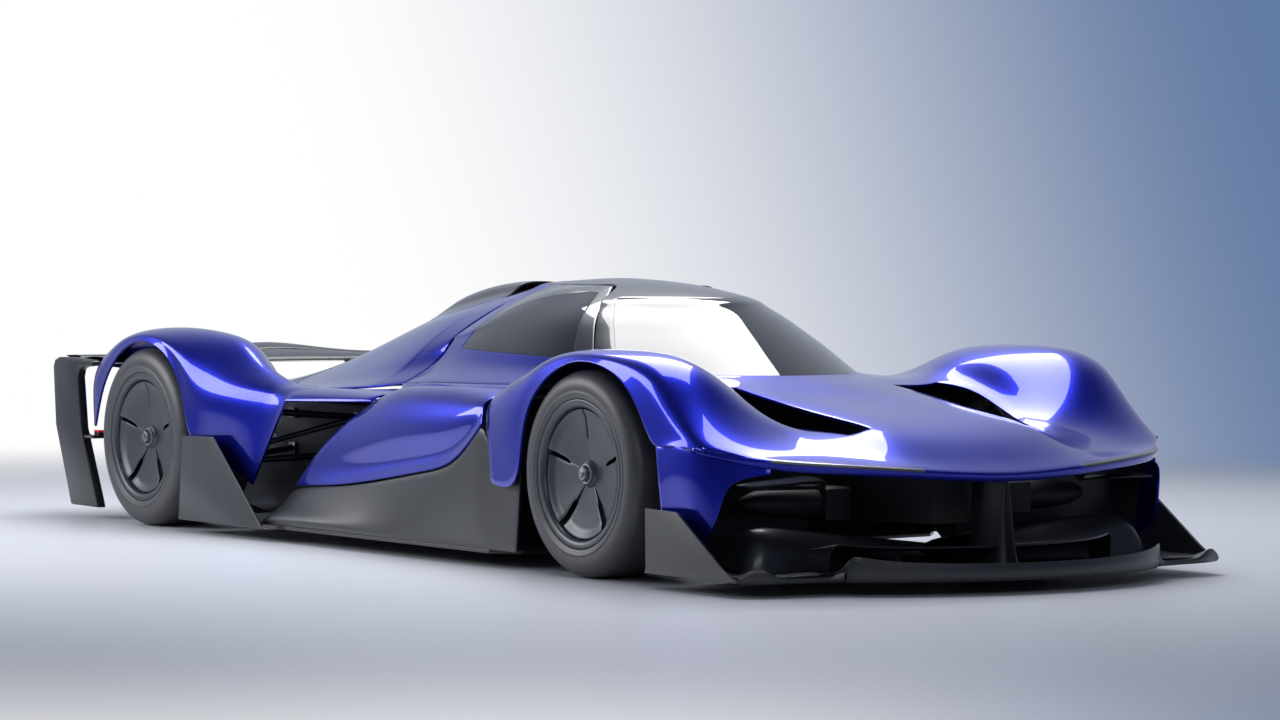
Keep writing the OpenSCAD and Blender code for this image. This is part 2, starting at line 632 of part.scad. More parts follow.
module sidepod() {
  rows = [for (k = [0:len(pod) - 1]) concat([sill_point(door_rows[k]) + [8, 3, -1]], pod[k])];
  color(blue) {
    skin(put_all(rows), panel_t);
    // Stays on the sill of the tub
    for (s = pod_stays)
      block([wide(706), along(s[0]), sill_top + seam], [wide(722), along(s[0] + 16), s[1]]);
  }
}

// Dark lower sides from the sidepod down to the floor edge, with the fin before the rear wheel
module side_skirts() {
  rows = [for (p = pod) let (e = p[3])
    [[e[0] - 4, e[1], e[2] - panel_gap - 6], [mix(e[0], 950, 0.5), e[1] + 10, mix(e[2], 60, 0.5)],
     [950, e[1] + 15, 90], [950, e[1] + 15, floor_top + seam]]];
  fin = [[-377, 365], [-613, 369], [-982, 54], [-1079, 45], [-347, 45]];
  color(carbon) both_sides() {
    skin(put_all(rows), panel_t);
    translate([0, rear_y, 0]) side_plate(fin, wide(floor_half_w) + seam + 8, 8);
  }
}

// Rear wing: x, front from the rear axle, height and scale of the chord.
// Its tips droop into the endplates.
wing_line = [[0, 392, 676, 1], [300, 393, 675, 1], [600, 396, 668, 0.99], [770, 410, 660, 0.94],
             [840, 436, 654, 0.86], [910, 446, 642, 0.82]];

function wing_outline(chord, thick) =
  [[0, 2], [chord * 0.06, thick * 0.4], [chord * 0.3, thick * 0.55], [chord * 0.7, thick * 0.8],
   [chord, thick], [chord, thick - 3], [chord * 0.7, thick * 0.4], [chord * 0.3, -thick * 0.45],
   [chord * 0.06, -thick * 0.35]];

module blade(chord, thick, back, lift) {
  outline = wing_outline(chord, thick);
  loft([for (p = both_ways(wing_line))
    [for (v = outline) [wide(p[0]), rear_y + p[1] + (back + v[0]) * p[3], p[2] + lift + v[1]]]]);
}

module rear_wing() {
  color(carbon) {
    blade(240, 30, 0, 0);
    blade(130, 16, 228, 18);
    both_sides() translate([0, rear_y, 0])
      side_plate([[372, gearbox_top + seam], [414, gearbox_top + seam], [520, 640], [570, 655],
                  [650, 690], [650, 714], [560, 702], [440, 676], [410, 600]], gearbox_w / 2 - 13, 14);
  }
}

module endplates() {
  bar_end = diffuser_half_w + strake_t / 2 + seam;
  outline = [[-346, 644], [-330, 654], [-150, 664], [-50, 662], [-12, 645], [0, 610], [-22, 364],
   [-157, 50],
             [-391, 48], [-240, 360], [-210, 560], [-222, 600], [-250, 614], [-330, 622]];
  color(carbon) both_sides() translate([0, tail_y, 0]) {
    side_plate(outline, wide(910) + seam + 38, 38);
    // Bar to the side of the diffuser
    block([bar_end, -330, 318], [wide(910) + seam + 10, -270, 330]);
    block([bar_end, -330, 290], [bar_end + 20, -270, 325]);
    block([wide(890), -330, 318], [wide(910) + seam + 30, -230, 330]);
  }
}

module tail_lamps() {
  color([0.7, 0.02, 0.02]) both_sides()
    block([wide(880), tail_y - 320, 330 + seam], [wide(908), tail_y - 280, 350]);
}

// Power unit
engine_top = 540;
gearbox_w = 300;
gearbox_front = 655;
gearbox_rear = 420;
gearbox_top = 470;

module engine() {
  color([0.35, 0.35, 0.37])
    translate([-260, along(tub_back) + seam, 110])
    cube([520, rear_y - gearbox_front - along(tub_back) - seam, engine_top - 110]);
}

module gearbox() {
  side = [[-gearbox_front + seam, 150], [60, 160], [gearbox_rear, 330], [gearbox_rear, gearbox_top],
          [-gearbox_front + seam, gearbox_top]];
  color([0.3, 0.3, 0.32]) translate([0, rear_y, 0]) side_plate(side, gearbox_w / 2, gearbox_w);
}

// Suspension. Each leg of a wishbone runs from a foot on the inner wall to the outer boss.
foot_t = 12;
upright_x = tyre_span / 2 - 275;
upright_t = 44;
wheel_inset = 8;
hub_bore_from = 60;
hub_end = 112;
// Tip of a spindle, just short of the bottom of the hub's blind bore
spindle_tip = tyre_span / 2 - wheel_inset - hub_bore_from - 2;

module leg(wall, y, z, outer, r) {
  bar([wall + foot_t * 0.8, y, z], outer, r);
  translate([wall + seam, y - 2 * r, z - 1.6 * r]) cube([foot_t, 4 * r, 3.2 * r]);
}

module front_arms() {
  boss_h = 30;
  color([0.45, 0.45, 0.47]) both_sides() translate([0, front_y, axle_z]) for (s = [-1, 1]) {
    outer = [kingpin_x, 0, s * (kingpin_h + 6 + boss_h / 2)];
    for (y = [-250, 200]) leg(wide(tub_nose_w), y, s * 85 - 30, outer, arm_r);
    translate(outer - [0, 0, boss_h / 2]) cylinder(r = 24, h = boss_h);
    translate(outer - [0, 0, s > 0 ? boss_h / 2 + 26 : 0]) cylinder(r = kingpin_r, h = boss_h / 2 + 26);
  }
}

module rear_arms() {
  color([0.45, 0.45, 0.47]) both_sides() translate([0, rear_y, axle_z]) {
    for (s = [-1, 1]) {
      outer = [upright_x - seam - 8, 0, s * 110];
      for (y = [-280, 240]) leg(gearbox_w / 2, y, s * 70, outer, arm_r);
      translate([outer[0] - 12, -30, s * 110 - 22]) cube([20, 60, 44]);
    }
    leg(gearbox_w / 2, -430, 95, [upright_x - seam - 20, -20, -90], pushrod_r);
  }
}

module upright(x, spindle_end) {
  translate([x, -45, -kingpin_h]) cube([upright_t, 90, 2 * kingpin_h]);
  translate([x + upright_t - 2, 0, 0]) rotate([0, 90, 0])
    cylinder(r = spindle_r, h = spindle_end - x - upright_t + 2);
}

module knuckle() {
  color([0.5, 0.5, 0.52]) translate([0, front_y, axle_z]) difference() {
    upright(kingpin_x - upright_t / 2, spindle_tip);
    for (s = [-1, 1]) translate([kingpin_x, 0, s > 0 ? kingpin_h - 22 : -kingpin_h - 10])
      cylinder(r = kingpin_r + running_gap, h = 32);
  }
}

module rear_uprights() {
  color([0.5, 0.5, 0.52]) both_sides() translate([0, rear_y, axle_z]) upright(upright_x, spindle_tip);
}

// Wheels: barrel, dished cover with radial slots, hub with a blind bore, centre nut
rim_r = rim_d / 2;

module wheel(w) {
  // Profiles from the outer face inward: radius, depth
  barrel = [[rim_r, 0], [rim_r, 14], [rim_r - 14, 22], [rim_r - 22, 50], [rim_r - 22, w - 50],
            [rim_r - 14, w - 22], [rim_r, w - 14], [rim_r, w], [rim_r - 10, w], [rim_r - 26, w - 28],
            [rim_r - 34, w - 60], [rim_r - 34, 60], [rim_r - 20, 8], [rim_r - 10, 0]];
  disc = [[0, 30], [40, 30], [60, 46], [rim_r - 60, 30], [rim_r - 40, 18], [rim_r - 16, 14],
   [rim_r - 24, 40],
          [rim_r - 50, 46], [70, 66], [70, hub_end], [0, hub_end]];
  difference() {
    union() {
      rotate_extrude() polygon(barrel);
      difference() {
        rotate_extrude() polygon(disc);
        for (k = [0:cover_slots - 1]) rotate(k * 360 / cover_slots)
          translate([75, -slot_w / 2, 0]) cube([rim_r - 125, slot_w, 100]);
      }
      translate([0, 0, 12]) cylinder(r = 26, h = 30, $fn = 6);
    }
    translate([0, 0, hub_bore_from]) cylinder(r = spindle_r + running_gap, h = hub_end);
  }
}

module tyre(w) {
  shoulder = 34;
  rotate_extrude($fn = 96) {
    translate([rim_r + seam, 6]) square([axle_z - shoulder - rim_r, w - 12]);
    translate([rim_r + shoulder, shoulder]) square([axle_z - rim_r - shoulder, w - 2 * shoulder]);
    for (z = [shoulder, w - shoulder]) translate([axle_z - shoulder, z]) circle(r = shoulder);
  }
}

// Puts a wheel with its outer face outboard; side is 1 for left and -1 for right
module at_wheel(side, y) {
  translate([side * tyre_span / 2, y, axle_z]) rotate([0, side > 0 ? -90 : 90, 0])
    rotate(side > 0 ? 0 : 180) children();
}

module rolling_wheel(side, y, w) {
  color([0.16, 0.16, 0.18]) at_wheel(side, y) translate([0, 0, wheel_inset]) wheel(w - 2 * wheel_inset);
}

module rolling_tyre(side, y, w) {
  color([0.2, 0.2, 0.21]) at_wheel(side, y) tyre(w);
}

// Cockpit
cabin_half_w = tub_half_w - tub_wall;
driver_x = 240;

module seats() {
  // Side profile of a bucket with a reclined back
  profile = [[560, 110 + seam], [960, 110 + seam], [1330, 640], [1290, 690], [1190, 640], [880, 220],
             [640, 250], [560, 230]];
  outer = wide(cabin_half_w) - 50;
  color([0.1, 0.1, 0.11]) both_sides() translate([0, front_y, 0]) side_plate(profile, outer, outer - 50);
}

module dash() {
  plan = [[0, 190], [250, 230], [cabin_half_w - 50, 400], [cabin_half_w - 40, 500],
          [cabin_half_w - 80, 540], [0, 540]];
  color([0.08, 0.08, 0.09]) {
    extruded(plan, tub_top + seam, 632);
    // Support of the steering column
    translate([wide(driver_x), front_y, 0]) block([-40, 400, 500], [40, 520, 610]);
  }
}

module steering_wheel() {
  color([0.08, 0.08, 0.09]) translate([wide(driver_x), front_y + 600, 540]) {
    rotate([-70, 0, 0]) {
      difference() {
        cylinder(r = 150, h = 26);
        translate([0, 0, -1]) cylinder(r = 120, h = 28);
      }
      translate([-130, -35, 0]) cube([260, 70, 24]);
    }
    rotate([90, 0, 0]) cylinder(r = 22, h = 80 - seam);
  }
}

splitter();
splitter_flap();
nose_keel();
front_clamshell();
cheeks();
tub();
floor();
diffuser();
windscreen();
roof();
roof_scoop();
engine_cover();
on_left() rear_fender();  // rear_fender_left
on_right() rear_fender();  // rear_fender_right
on_left() sidepod();  // sidepod_left
on_right() sidepod();  // sidepod_right
side_skirts();
rear_wing();
endplates();
tail_lamps();
engine();
gearbox();
front_arms();
rear_arms();
on_left() knuckle();  // knuckle_left
on_right() knuckle();  // knuckle_right
rear_uprights();
rolling_wheel(1, front_y, front_tyre_w);  // wheel_front_left
rolling_wheel(-1, front_y, front_tyre_w);  // wheel_front_right
rolling_wheel(1, rear_y, rear_tyre_w);  // wheel_rear_left
rolling_wheel(-1, rear_y, rear_tyre_w);  // wheel_rear_right
rolling_tyre(1, front_y, front_tyre_w);  // tyre_front_left
rolling_tyre(-1, front_y, front_tyre_w);  // tyre_front_right
rolling_tyre(1, rear_y, rear_tyre_w);  // tyre_rear_left
rolling_tyre(-1, rear_y, rear_tyre_w);  // tyre_rear_right
on_left() door();  // door_left
on_right() door();  // door_right
on_left() door_glass();  // door_glass_left
on_right() door_glass();  // door_glass_right
seats();
steering_wheel();
dash();
front_lamps();
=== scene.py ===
"""Looks of a low two-seat track car: painted panels, glass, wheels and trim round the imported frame."""

import math

import bpy
import numpy as np
from mathutils import Matrix, Vector


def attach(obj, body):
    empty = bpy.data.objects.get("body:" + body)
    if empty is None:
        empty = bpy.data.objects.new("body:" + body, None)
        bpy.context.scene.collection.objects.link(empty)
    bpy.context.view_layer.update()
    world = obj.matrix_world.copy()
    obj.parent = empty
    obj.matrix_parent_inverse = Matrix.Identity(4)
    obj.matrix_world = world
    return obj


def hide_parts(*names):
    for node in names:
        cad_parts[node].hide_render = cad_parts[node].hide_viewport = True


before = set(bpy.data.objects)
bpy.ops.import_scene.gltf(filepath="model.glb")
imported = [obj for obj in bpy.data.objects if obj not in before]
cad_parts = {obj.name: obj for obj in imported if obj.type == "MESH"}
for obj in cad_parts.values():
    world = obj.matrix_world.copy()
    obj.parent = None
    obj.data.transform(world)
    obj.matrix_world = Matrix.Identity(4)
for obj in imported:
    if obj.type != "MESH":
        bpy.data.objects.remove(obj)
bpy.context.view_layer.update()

# Floor plate and diffuser: flat carbon-fibre sheet under the whole car, moulded in one piece and bolted
# up to the tub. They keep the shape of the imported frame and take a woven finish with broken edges.


class Value:
    """An output of a node that arithmetic works on."""

    def __init__(self, finish, socket):
        self.finish, self.socket = finish, socket

    def math(self, kind, *others):
        return self.finish.node("ShaderNodeMath", {"operation": kind}, dict(enumerate((self, *others))))

    def __add__(self, other):
        return self.math("ADD", other)

    def __sub__(self, other):
        return self.math("SUBTRACT", other)

    def __rsub__(self, other):
        return (self * -1) + other

    def __mul__(self, other):
        return self.math("MULTIPLY", other)

    def above(self, edge, soft):
        """0 below edge, 1 above edge + soft, with a smooth rise between."""
        settings = {"interpolation_type": "SMOOTHSTEP", "clamp": True}
        inputs = {"Value": self, "From Min": edge, "From Max": edge + soft}
        return self.finish.node("ShaderNodeMapRange", settings, inputs)


class Finish:
    """A material: constants sit on its shader, and what varies comes from nodes."""

    def __init__(self, name, **constants):
        self.material = bpy.data.materials.new(name)
        self.material.use_nodes = True
        self.nodes = self.material.node_tree.nodes
        self.links = self.material.node_tree.links
        self.shader = self.nodes["Principled BSDF"]
        for key, value in constants.items():
            self.shader.inputs[key.replace("_", " ")].default_value = value
        self.place = Value(self, self.nodes.new("ShaderNodeTexCoord").outputs["Object"])

    def node(self, kind, settings, inputs, output=0):
        made = self.nodes.new(kind)
        for key, value in settings.items():
            setattr(made, key, value)
        for key, value in inputs.items():
            self.feed(made.inputs[key], value)
        return Value(self, made.outputs[output])

    def feed(self, socket, value):
        if isinstance(value, Value):
            self.links.new(value.socket, socket)
        else:
            socket.default_value = value

    def axes(self):
        made = self.nodes.new("ShaderNodeSeparateXYZ")
        self.links.new(self.place.socket, made.inputs[0])
        return [Value(self, out) for out in made.outputs]

    def noise(self, scale, detail=3, place=None):
        inputs = {"Vector": place or self.place, "Scale": scale, "Detail": detail}
        return self.node("ShaderNodeTexNoise", {}, inputs)

    def stretched(self, factors):
        return self.node("ShaderNodeVectorMath", {"operation": "MULTIPLY"}, {0: self.place, 1: factors})

    def blend(self, amount, first, second):
        """Colour that goes from first to second."""
        inputs = {0: amount, 6: (*first, 1), 7: (*second, 1)}
        return self.node("ShaderNodeMix", {"data_type": "RGBA"}, inputs, 2)

    def bump(self, height, distance, strength=1.0):
        inputs = {"Height": height, "Distance": distance, "Strength": strength}
        return self.node("ShaderNodeBump", {}, inputs)

    def give(self, **values):
        for key, value in values.items():
            self.feed(self.shader.inputs[key.replace("_", " ")], value)


def weave(finish, pitch):
    """Height of a twill weave of tows, pitch metres wide, on the two widest directions."""
    x, y, z = finish.axes()
    along, across = x + z * 0.7, y + z * 0.7
    a = (along * (math.pi / pitch)).math("SINE")
    b = (across * (math.pi / pitch)).math("SINE")
    slant = ((along + across) * (math.pi / (2 * pitch))).math("SINE")
    return slant * (a.math("ABSOLUTE") - b.math("ABSOLUTE"))


carbon = Finish("carbon_satin", Metallic=0.0, Coat_Weight=0.6, Coat_Roughness=0.24)
carbon_weave = weave(carbon, 0.0022)
carbon_haze = carbon.noise(5, 4)
carbon.give(
    Base_Color=carbon.blend(carbon_weave * 0.35 + carbon_haze * 0.5,
                            (0.011, 0.012, 0.016), (0.024, 0.026, 0.034)),
    Roughness=carbon_haze * 0.16 + carbon_weave * 0.03 + 0.36,
    Normal=carbon.bump(carbon_weave, 0.00012, 0.35),
)


def edit(obj, action="SELECT"):
    """Opens obj alone, with everything in it selected or deselected."""
    bpy.ops.object.select_all(action="DESELECT")
    bpy.context.view_layer.objects.active = obj
    obj.select_set(True)
    bpy.ops.object.mode_set(mode="EDIT")
    bpy.ops.mesh.select_all(action=action)


def close():
    bpy.ops.object.mode_set(mode="OBJECT")


def welded(obj, reach):
    """Opens obj, merges points closer than reach and turns its faces outward."""
    edit(obj)
    bpy.ops.mesh.remove_doubles(threshold=reach)
    bpy.ops.mesh.normals_make_consistent(inside=False)


def settle(obj, *modifiers):
    """Adds modifiers given as (kind, settings) and applies them."""
    bpy.context.view_layer.objects.active = obj
    for kind, settings in modifiers:
        made = obj.modifiers.new(kind.lower(), kind)
        for key, value in settings.items():
            setattr(made, key, value)
        bpy.ops.object.modifier_apply(modifier=made.name)


def broken(width, segments, angle):
    """Bevel of the edges that turn by more than angle degrees."""
    return ("BEVEL", {"width": width, "segments": segments, "limit_method": "ANGLE",
                      "angle_limit": math.radians(angle)})


def finished(obj, finishes, body, angle=35):
    """Smooth shading, finishes and the body that the piece rides on."""
    bpy.ops.object.select_all(action="DESELECT")
    obj.select_set(True)
    bpy.context.view_layer.objects.active = obj
    bpy.ops.object.shade_smooth_by_angle(angle=math.radians(angle))
    if not isinstance(finishes, (list, tuple)):
        finishes = [finishes]
    for finish in finishes:
        obj.data.materials.append(finish.material)
    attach(obj, body)
    return obj


def edged(name, node, finish, width=0.002, merge=1.0, body="root"):
    """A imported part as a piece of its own, its faces joined up and its edges broken by a small radius."""
    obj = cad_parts[node].copy()
    obj.data = obj.data.copy()
    obj.name = obj.data.name = name
    obj.parent = None
    for key in list(obj.keys()):
        del obj[key]
    obj.data.materials.clear()
    bpy.context.collection.objects.link(obj)
    obj.hide_viewport = obj.hide_render = False
    obj.hide_set(False)
    welded(obj, 0.00005)
    bpy.ops.mesh.dissolve_limited(angle_limit=math.radians(merge))
    close()
    settle(obj, broken(width, 3, 30))
    finished(obj, finish, body)
    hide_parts(node)
    return obj


edged("floor_plate", "floor", carbon)
edged("diffuser_tunnel", "diffuser", carbon)

# Splitter: two-tier carbon wing under the nose. The lower tier is a dished blade with rounded, raised
# ends, the outer footplates curl up at the front, and a fin stands on each end of the plate.
FRONT = -1.3  # front axle along the car, metres
SIDES = (("left", 1), ("right", -1))
PLATE_TOP, PLATE_FOOT = 61, 50  # where the blades meet the splitter plate, mm


def placed(rows, side=1):
    """Station tables in millimetres from the front axle, as metres in the frame, on one side or the other."""
    return (np.array(rows, float) / 1000 + (0, FRONT, 0)) * (side, 1, 1)


def both_ways(rows):
    """Rows of points from the centre outward, with their mirror image before them."""
    rows = np.asarray(rows, float)
    return np.concatenate([rows[:, :0:-1] * (-1, 1, 1), rows], axis=1)


def fair(points, steps, corners=()):
    """Rows of points drawn through as fair curves of steps pieces each, kept sharp at the corners."""
    points = np.asarray(points, float)
    stops = sorted({0, len(points) - 1, *corners})
    curve = []
    for first, last in zip(stops, stops[1:]):
        part = points[first : last + 1]
        pulls = part.copy()
        if len(part) > 2:
            pulls[1:-1] = (8 * part[1:-1] - part[:-2] - part[2:]) / 6
        pulls = np.concatenate([[2 * pulls[0] - pulls[1]], pulls, [2 * pulls[-1] - pulls[-2]]])
        for i in range(len(part) - 1):
            for k in range(steps):
                t = k / steps
                weights = ((1 - t) ** 3, 3 * t**3 - 6 * t**2 + 4, -3 * t**3 + 3 * t**2 + 3 * t + 1, t**3)
                curve.append(sum(w / 6 * pulls[i + n] for n, w in enumerate(weights)))
    curve.append(points[-1])
    return np.array(curve)


def laid(name, fine):
    """A sheet of faces over a grid of points."""
    fine = np.asarray(fine, np.float32)
    down, over = len(fine) - 1, len(fine[0]) - 1
    bpy.ops.mesh.primitive_grid_add(x_subdivisions=over, y_subdivisions=down, size=1)
    obj = bpy.context.object
    obj.name = obj.data.name = name
    obj.data.vertices.foreach_set("co", fine.reshape(-1))
    obj.data.update()
    return obj


def cut(obj, rule):
    """Takes away the faces that the rule picks."""
    edit(obj, "DESELECT")
    close()
    for face in obj.data.polygons:
        face.select = bool(rule(face))
    bpy.ops.object.mode_set(mode="EDIT")
    bpy.ops.mesh.select_mode(type="FACE")
    bpy.ops.mesh.delete(type="FACE")
    close()


def lofted(name, sections, steps, finish, across=1, angle=35):
    """Closed skin through sections with as many points each, drawn fair along its length and capped."""
    fine = fair(np.concatenate([sections, sections[:, :1]], axis=1), steps)
    if across > 1:
        fine = np.swapaxes(fair(np.swapaxes(fine, 0, 1), across), 0, 1)
    obj = laid(name, fine)
    edit(obj)
    bpy.ops.mesh.remove_doubles(threshold=0.00005)
    bpy.ops.mesh.select_all(action="DESELECT")
    bpy.ops.mesh.select_mode(type="EDGE")
    bpy.ops.mesh.select_non_manifold(extend=False)
    bpy.ops.mesh.fill()
    bpy.ops.mesh.select_all(action="SELECT")
    bpy.ops.mesh.normals_make_consistent(inside=False)
    close()
    return finished(obj, finish, "root", angle)


plate = edged("splitter_plate", "splitter", carbon)
LOWER_TIER = [(0, -1260, 100), (200, -1245, 101), (400, -1190, 105), (520, -1138, 111), (590, -1096, 120),
              (622, -1072, 124), (638, -1056, 116), (644, -1046, 96), (645, -1042, 66)]
tier = []
for x, y, z in both_ways([LOWER_TIER])[0]:
    tier.append([(x, y, z), (x, y + 9, z - 1), (x, y + 35, 0.55 * z + 0.45 * 66), (x, y + 80, 66),
                 (x, y + 148, PLATE_TOP), (x, y + 148, PLATE_FOOT), (x, y + 40, 44), (x, y + 6, 46),
                 (x, y - 3, 0.5 * (z + 46))])
lofted("splitter_lower_tier", placed(tier), 6, carbon, across=3, angle=60)
tier_line = placed(LOWER_TIER)
cut(plate, lambda f: abs(f.center[0]) < 0.646
    and f.center[1] < np.interp(abs(f.center[0]), tier_line[:, 0], tier_line[:, 1]) + 0.1505)

curl = []
for x, y, z in ((652, -1040, 76), (668, -1033, 68), (690, -1022, 62), (770, -1008, 61), (850, -996, 62),
                (885, -988, 74), (915, -980, 88), (945, -968, 90), (972, -956, 80), (992, -947, 66)):
    curl.append([(x, y, z), (x, y + 8, z - 1), (x, y + 40, 0.5 * (z + 61)), (x, y + 90, PLATE_TOP),
                 (x, y + 90, PLATE_FOOT), (x, y + 25, 44), (x, y + 5, 45), (x, y - 4, 0.5 * (z + 45))])
# Upper tier: one blade on each side of the keel, its outer end turned down to the plate in a radius.
blade = []
for x, y, z in ((14, -1030, 140), (200, -1020, 141), (400, -970, 144), (500, -926, 149), (545, -898, 153),
                (567, -882, 150), (578, -873, 138), (582, -868, 112), (582, -866, 70)):
    crest, tail = min(z, 128), min(z, 117)
    blade.append([(x, y, z), (x, y + 12, z + 0.5), (x, y + 130, crest), (x, y + 290, tail),
                  (x, y + 290, tail - 4), (x, y + 130, crest - 9), (x, y + 8, z - 9), (x, y - 2, z - 5)])
for label, side in SIDES:
    lofted(f"splitter_footplate_lip_{label}", placed(curl, side), 5, carbon, across=3, angle=60)
for label, side in SIDES:
    upper = lofted(f"splitter_upper_tier_{label}", placed(blade, side), 5, carbon, across=3, angle=60)
    if label == "left":
        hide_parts("splitter_flap")

# Tub: hollow carbon monocoque with the sills, the footwell and the hoop behind the seats.
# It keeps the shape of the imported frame, in a rougher cloth finish than the outside plates.
cabin = Finish("cabin_carbon", Metallic=0.0, Coat_Weight=0.1, Coat_Roughness=0.4)
cabin_weave = weave(cabin, 0.003)
cabin_dust = cabin.noise(9, 5)
cabin.give(
    Base_Color=cabin.blend(cabin_dust, (0.011, 0.011, 0.012), (0.021, 0.021, 0.023)),
    Roughness=cabin_dust * 0.2 + 0.5,
    Normal=cabin.bump(cabin_weave, 0.00015, 0.3),
)
edged("tub_monocoque", "tub", cabin, 0.003)

# Keel: thin strut of moulded carbon fibre from the splitter up to the nose, faired at its foot. It
# holds the splitter up and is bolted to both.
keel = []
for z, y0, y1, half in ((61, -1122, -880, 40), (70, -1112, -900, 24), (90, -1101, -925, 15),
                        (130, -1088, -940, 12.5), (230, -1070, -930, 12), (330, -1055, -880, 12),
                        (366, -1032, -853, 12)):
    outline = [(0, y0), (0.3, y0 + 4), (0.5, y0 + 45), (1, (y0 + y1) / 2), (1, y1 - 20), (0.5, y1)]
    keel.append([(half * u, y, z) for u, y in outline] + [(-half * u, y, z) for u, y in outline[:0:-1]])
strut = lofted("nose_keel_strut", placed(keel), 5, carbon, across=3, angle=60)
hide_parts("nose_keel")

# Front clamshell: one moulding from the folded nose lip over both fenders to the cowl, with a
# nostril over each front suspension. Painted carbon fibre under a deep clear coat, pinned to the tub.
PANEL = 0.009  # thickness of a body panel, metres
RIM = 0.0012  # radius of its edges
ARCH_SIDE, ARCH_RADIUS, AXLE_UP = 970, 377, 345  # side, radius and centre height of a wheel arch, mm
PAINT_DARK, PAINT_LIGHT = (0.003, 0.007, 0.17), (0.010, 0.024, 0.80)


def surface(rows, down, over, corners_down=(), corners_over=()):
    """A grid of stations as a fine fair grid."""
    fine = fair(rows, down, corners_down)
    return np.swapaxes(fair(np.swapaxes(fine, 0, 1), over, corners_over), 0, 1)


def panel(name, fine, finishes, body, keep=None, thick=PANEL, gap=0.0, rim=RIM):
    """Shell over a fine grid: laid, cut to the cells it keeps, drawn in by the gap and thickened inward."""
    over = len(fine[0]) - 1
    obj = laid(name, fine)
    if keep:
        cut(obj, lambda f: not keep(f.index // over, f.index % over))
    edit(obj)
    bpy.ops.mesh.remove_doubles(threshold=0.0001)
    if gap:
        bpy.ops.mesh.select_mode(type="FACE")
        bpy.ops.mesh.select_all(action="SELECT")
        bpy.ops.mesh.inset(thickness=gap, use_boundary=True)
        bpy.ops.mesh.select_all(action="INVERT")
        bpy.ops.mesh.delete(type="FACE")
    close()
    inside = 1 if len(finishes) > 1 else 0
    settle(obj, ("SOLIDIFY", {"thickness": thick, "offset": -1, "material_offset": inside,
                              "material_offset_rim": 0}))
    if rim:
        settle(obj, broken(rim, 2, 55))
    return finished(obj, finishes, body)


def canopy_point(z, angle):
    """Point of the glasshouse at height z, turned by angle degrees from the front, in millimetres."""
    rings = np.array([(655, 600, 86, 900, 2300), (745, 535, 258, 930, 2200), (840, 445, 440, 980, 2100),
                      (910, 350, 575, 1040, 1950), (955, 184, 780, 1090, 1700)], float)
    wide, front, mid, rear = (np.interp(z, rings[:, 0], rings[:, k]) for k in (1, 2, 3, 4))
    turn = math.radians(angle)
    reach = mid - front if angle < 90 else rear - mid
    return np.array([wide * math.sin(turn), mid - reach * math.cos(turn), z])


def mixed(a, b, t):
    return np.asarray(a, float) * (1 - t) + np.asarray(b, float) * t


def nose_row(spine, flank, inner, outer, slope, crest, shoulder, lip):
    """Station of the clamshell from the centre line out to the edge, bulged a little above the edge."""
    bulge = mixed(shoulder, lip, 0.55) + (6, 0, 0)
    return np.array([(0, *spine), flank, inner, outer, slope, crest, shoulder, bulge, lip], float)


def arch_point(table, angle, station):
    """Edge of a wheel arch, angle degrees up from the rear horizontal."""
    radius = ARCH_RADIUS + np.interp(angle, [t[0] for t in table], [t[1] for t in table])
    turn = math.radians(angle)
    return ARCH_SIDE, station + radius * math.cos(turn), AXLE_UP + radius * math.sin(turn)


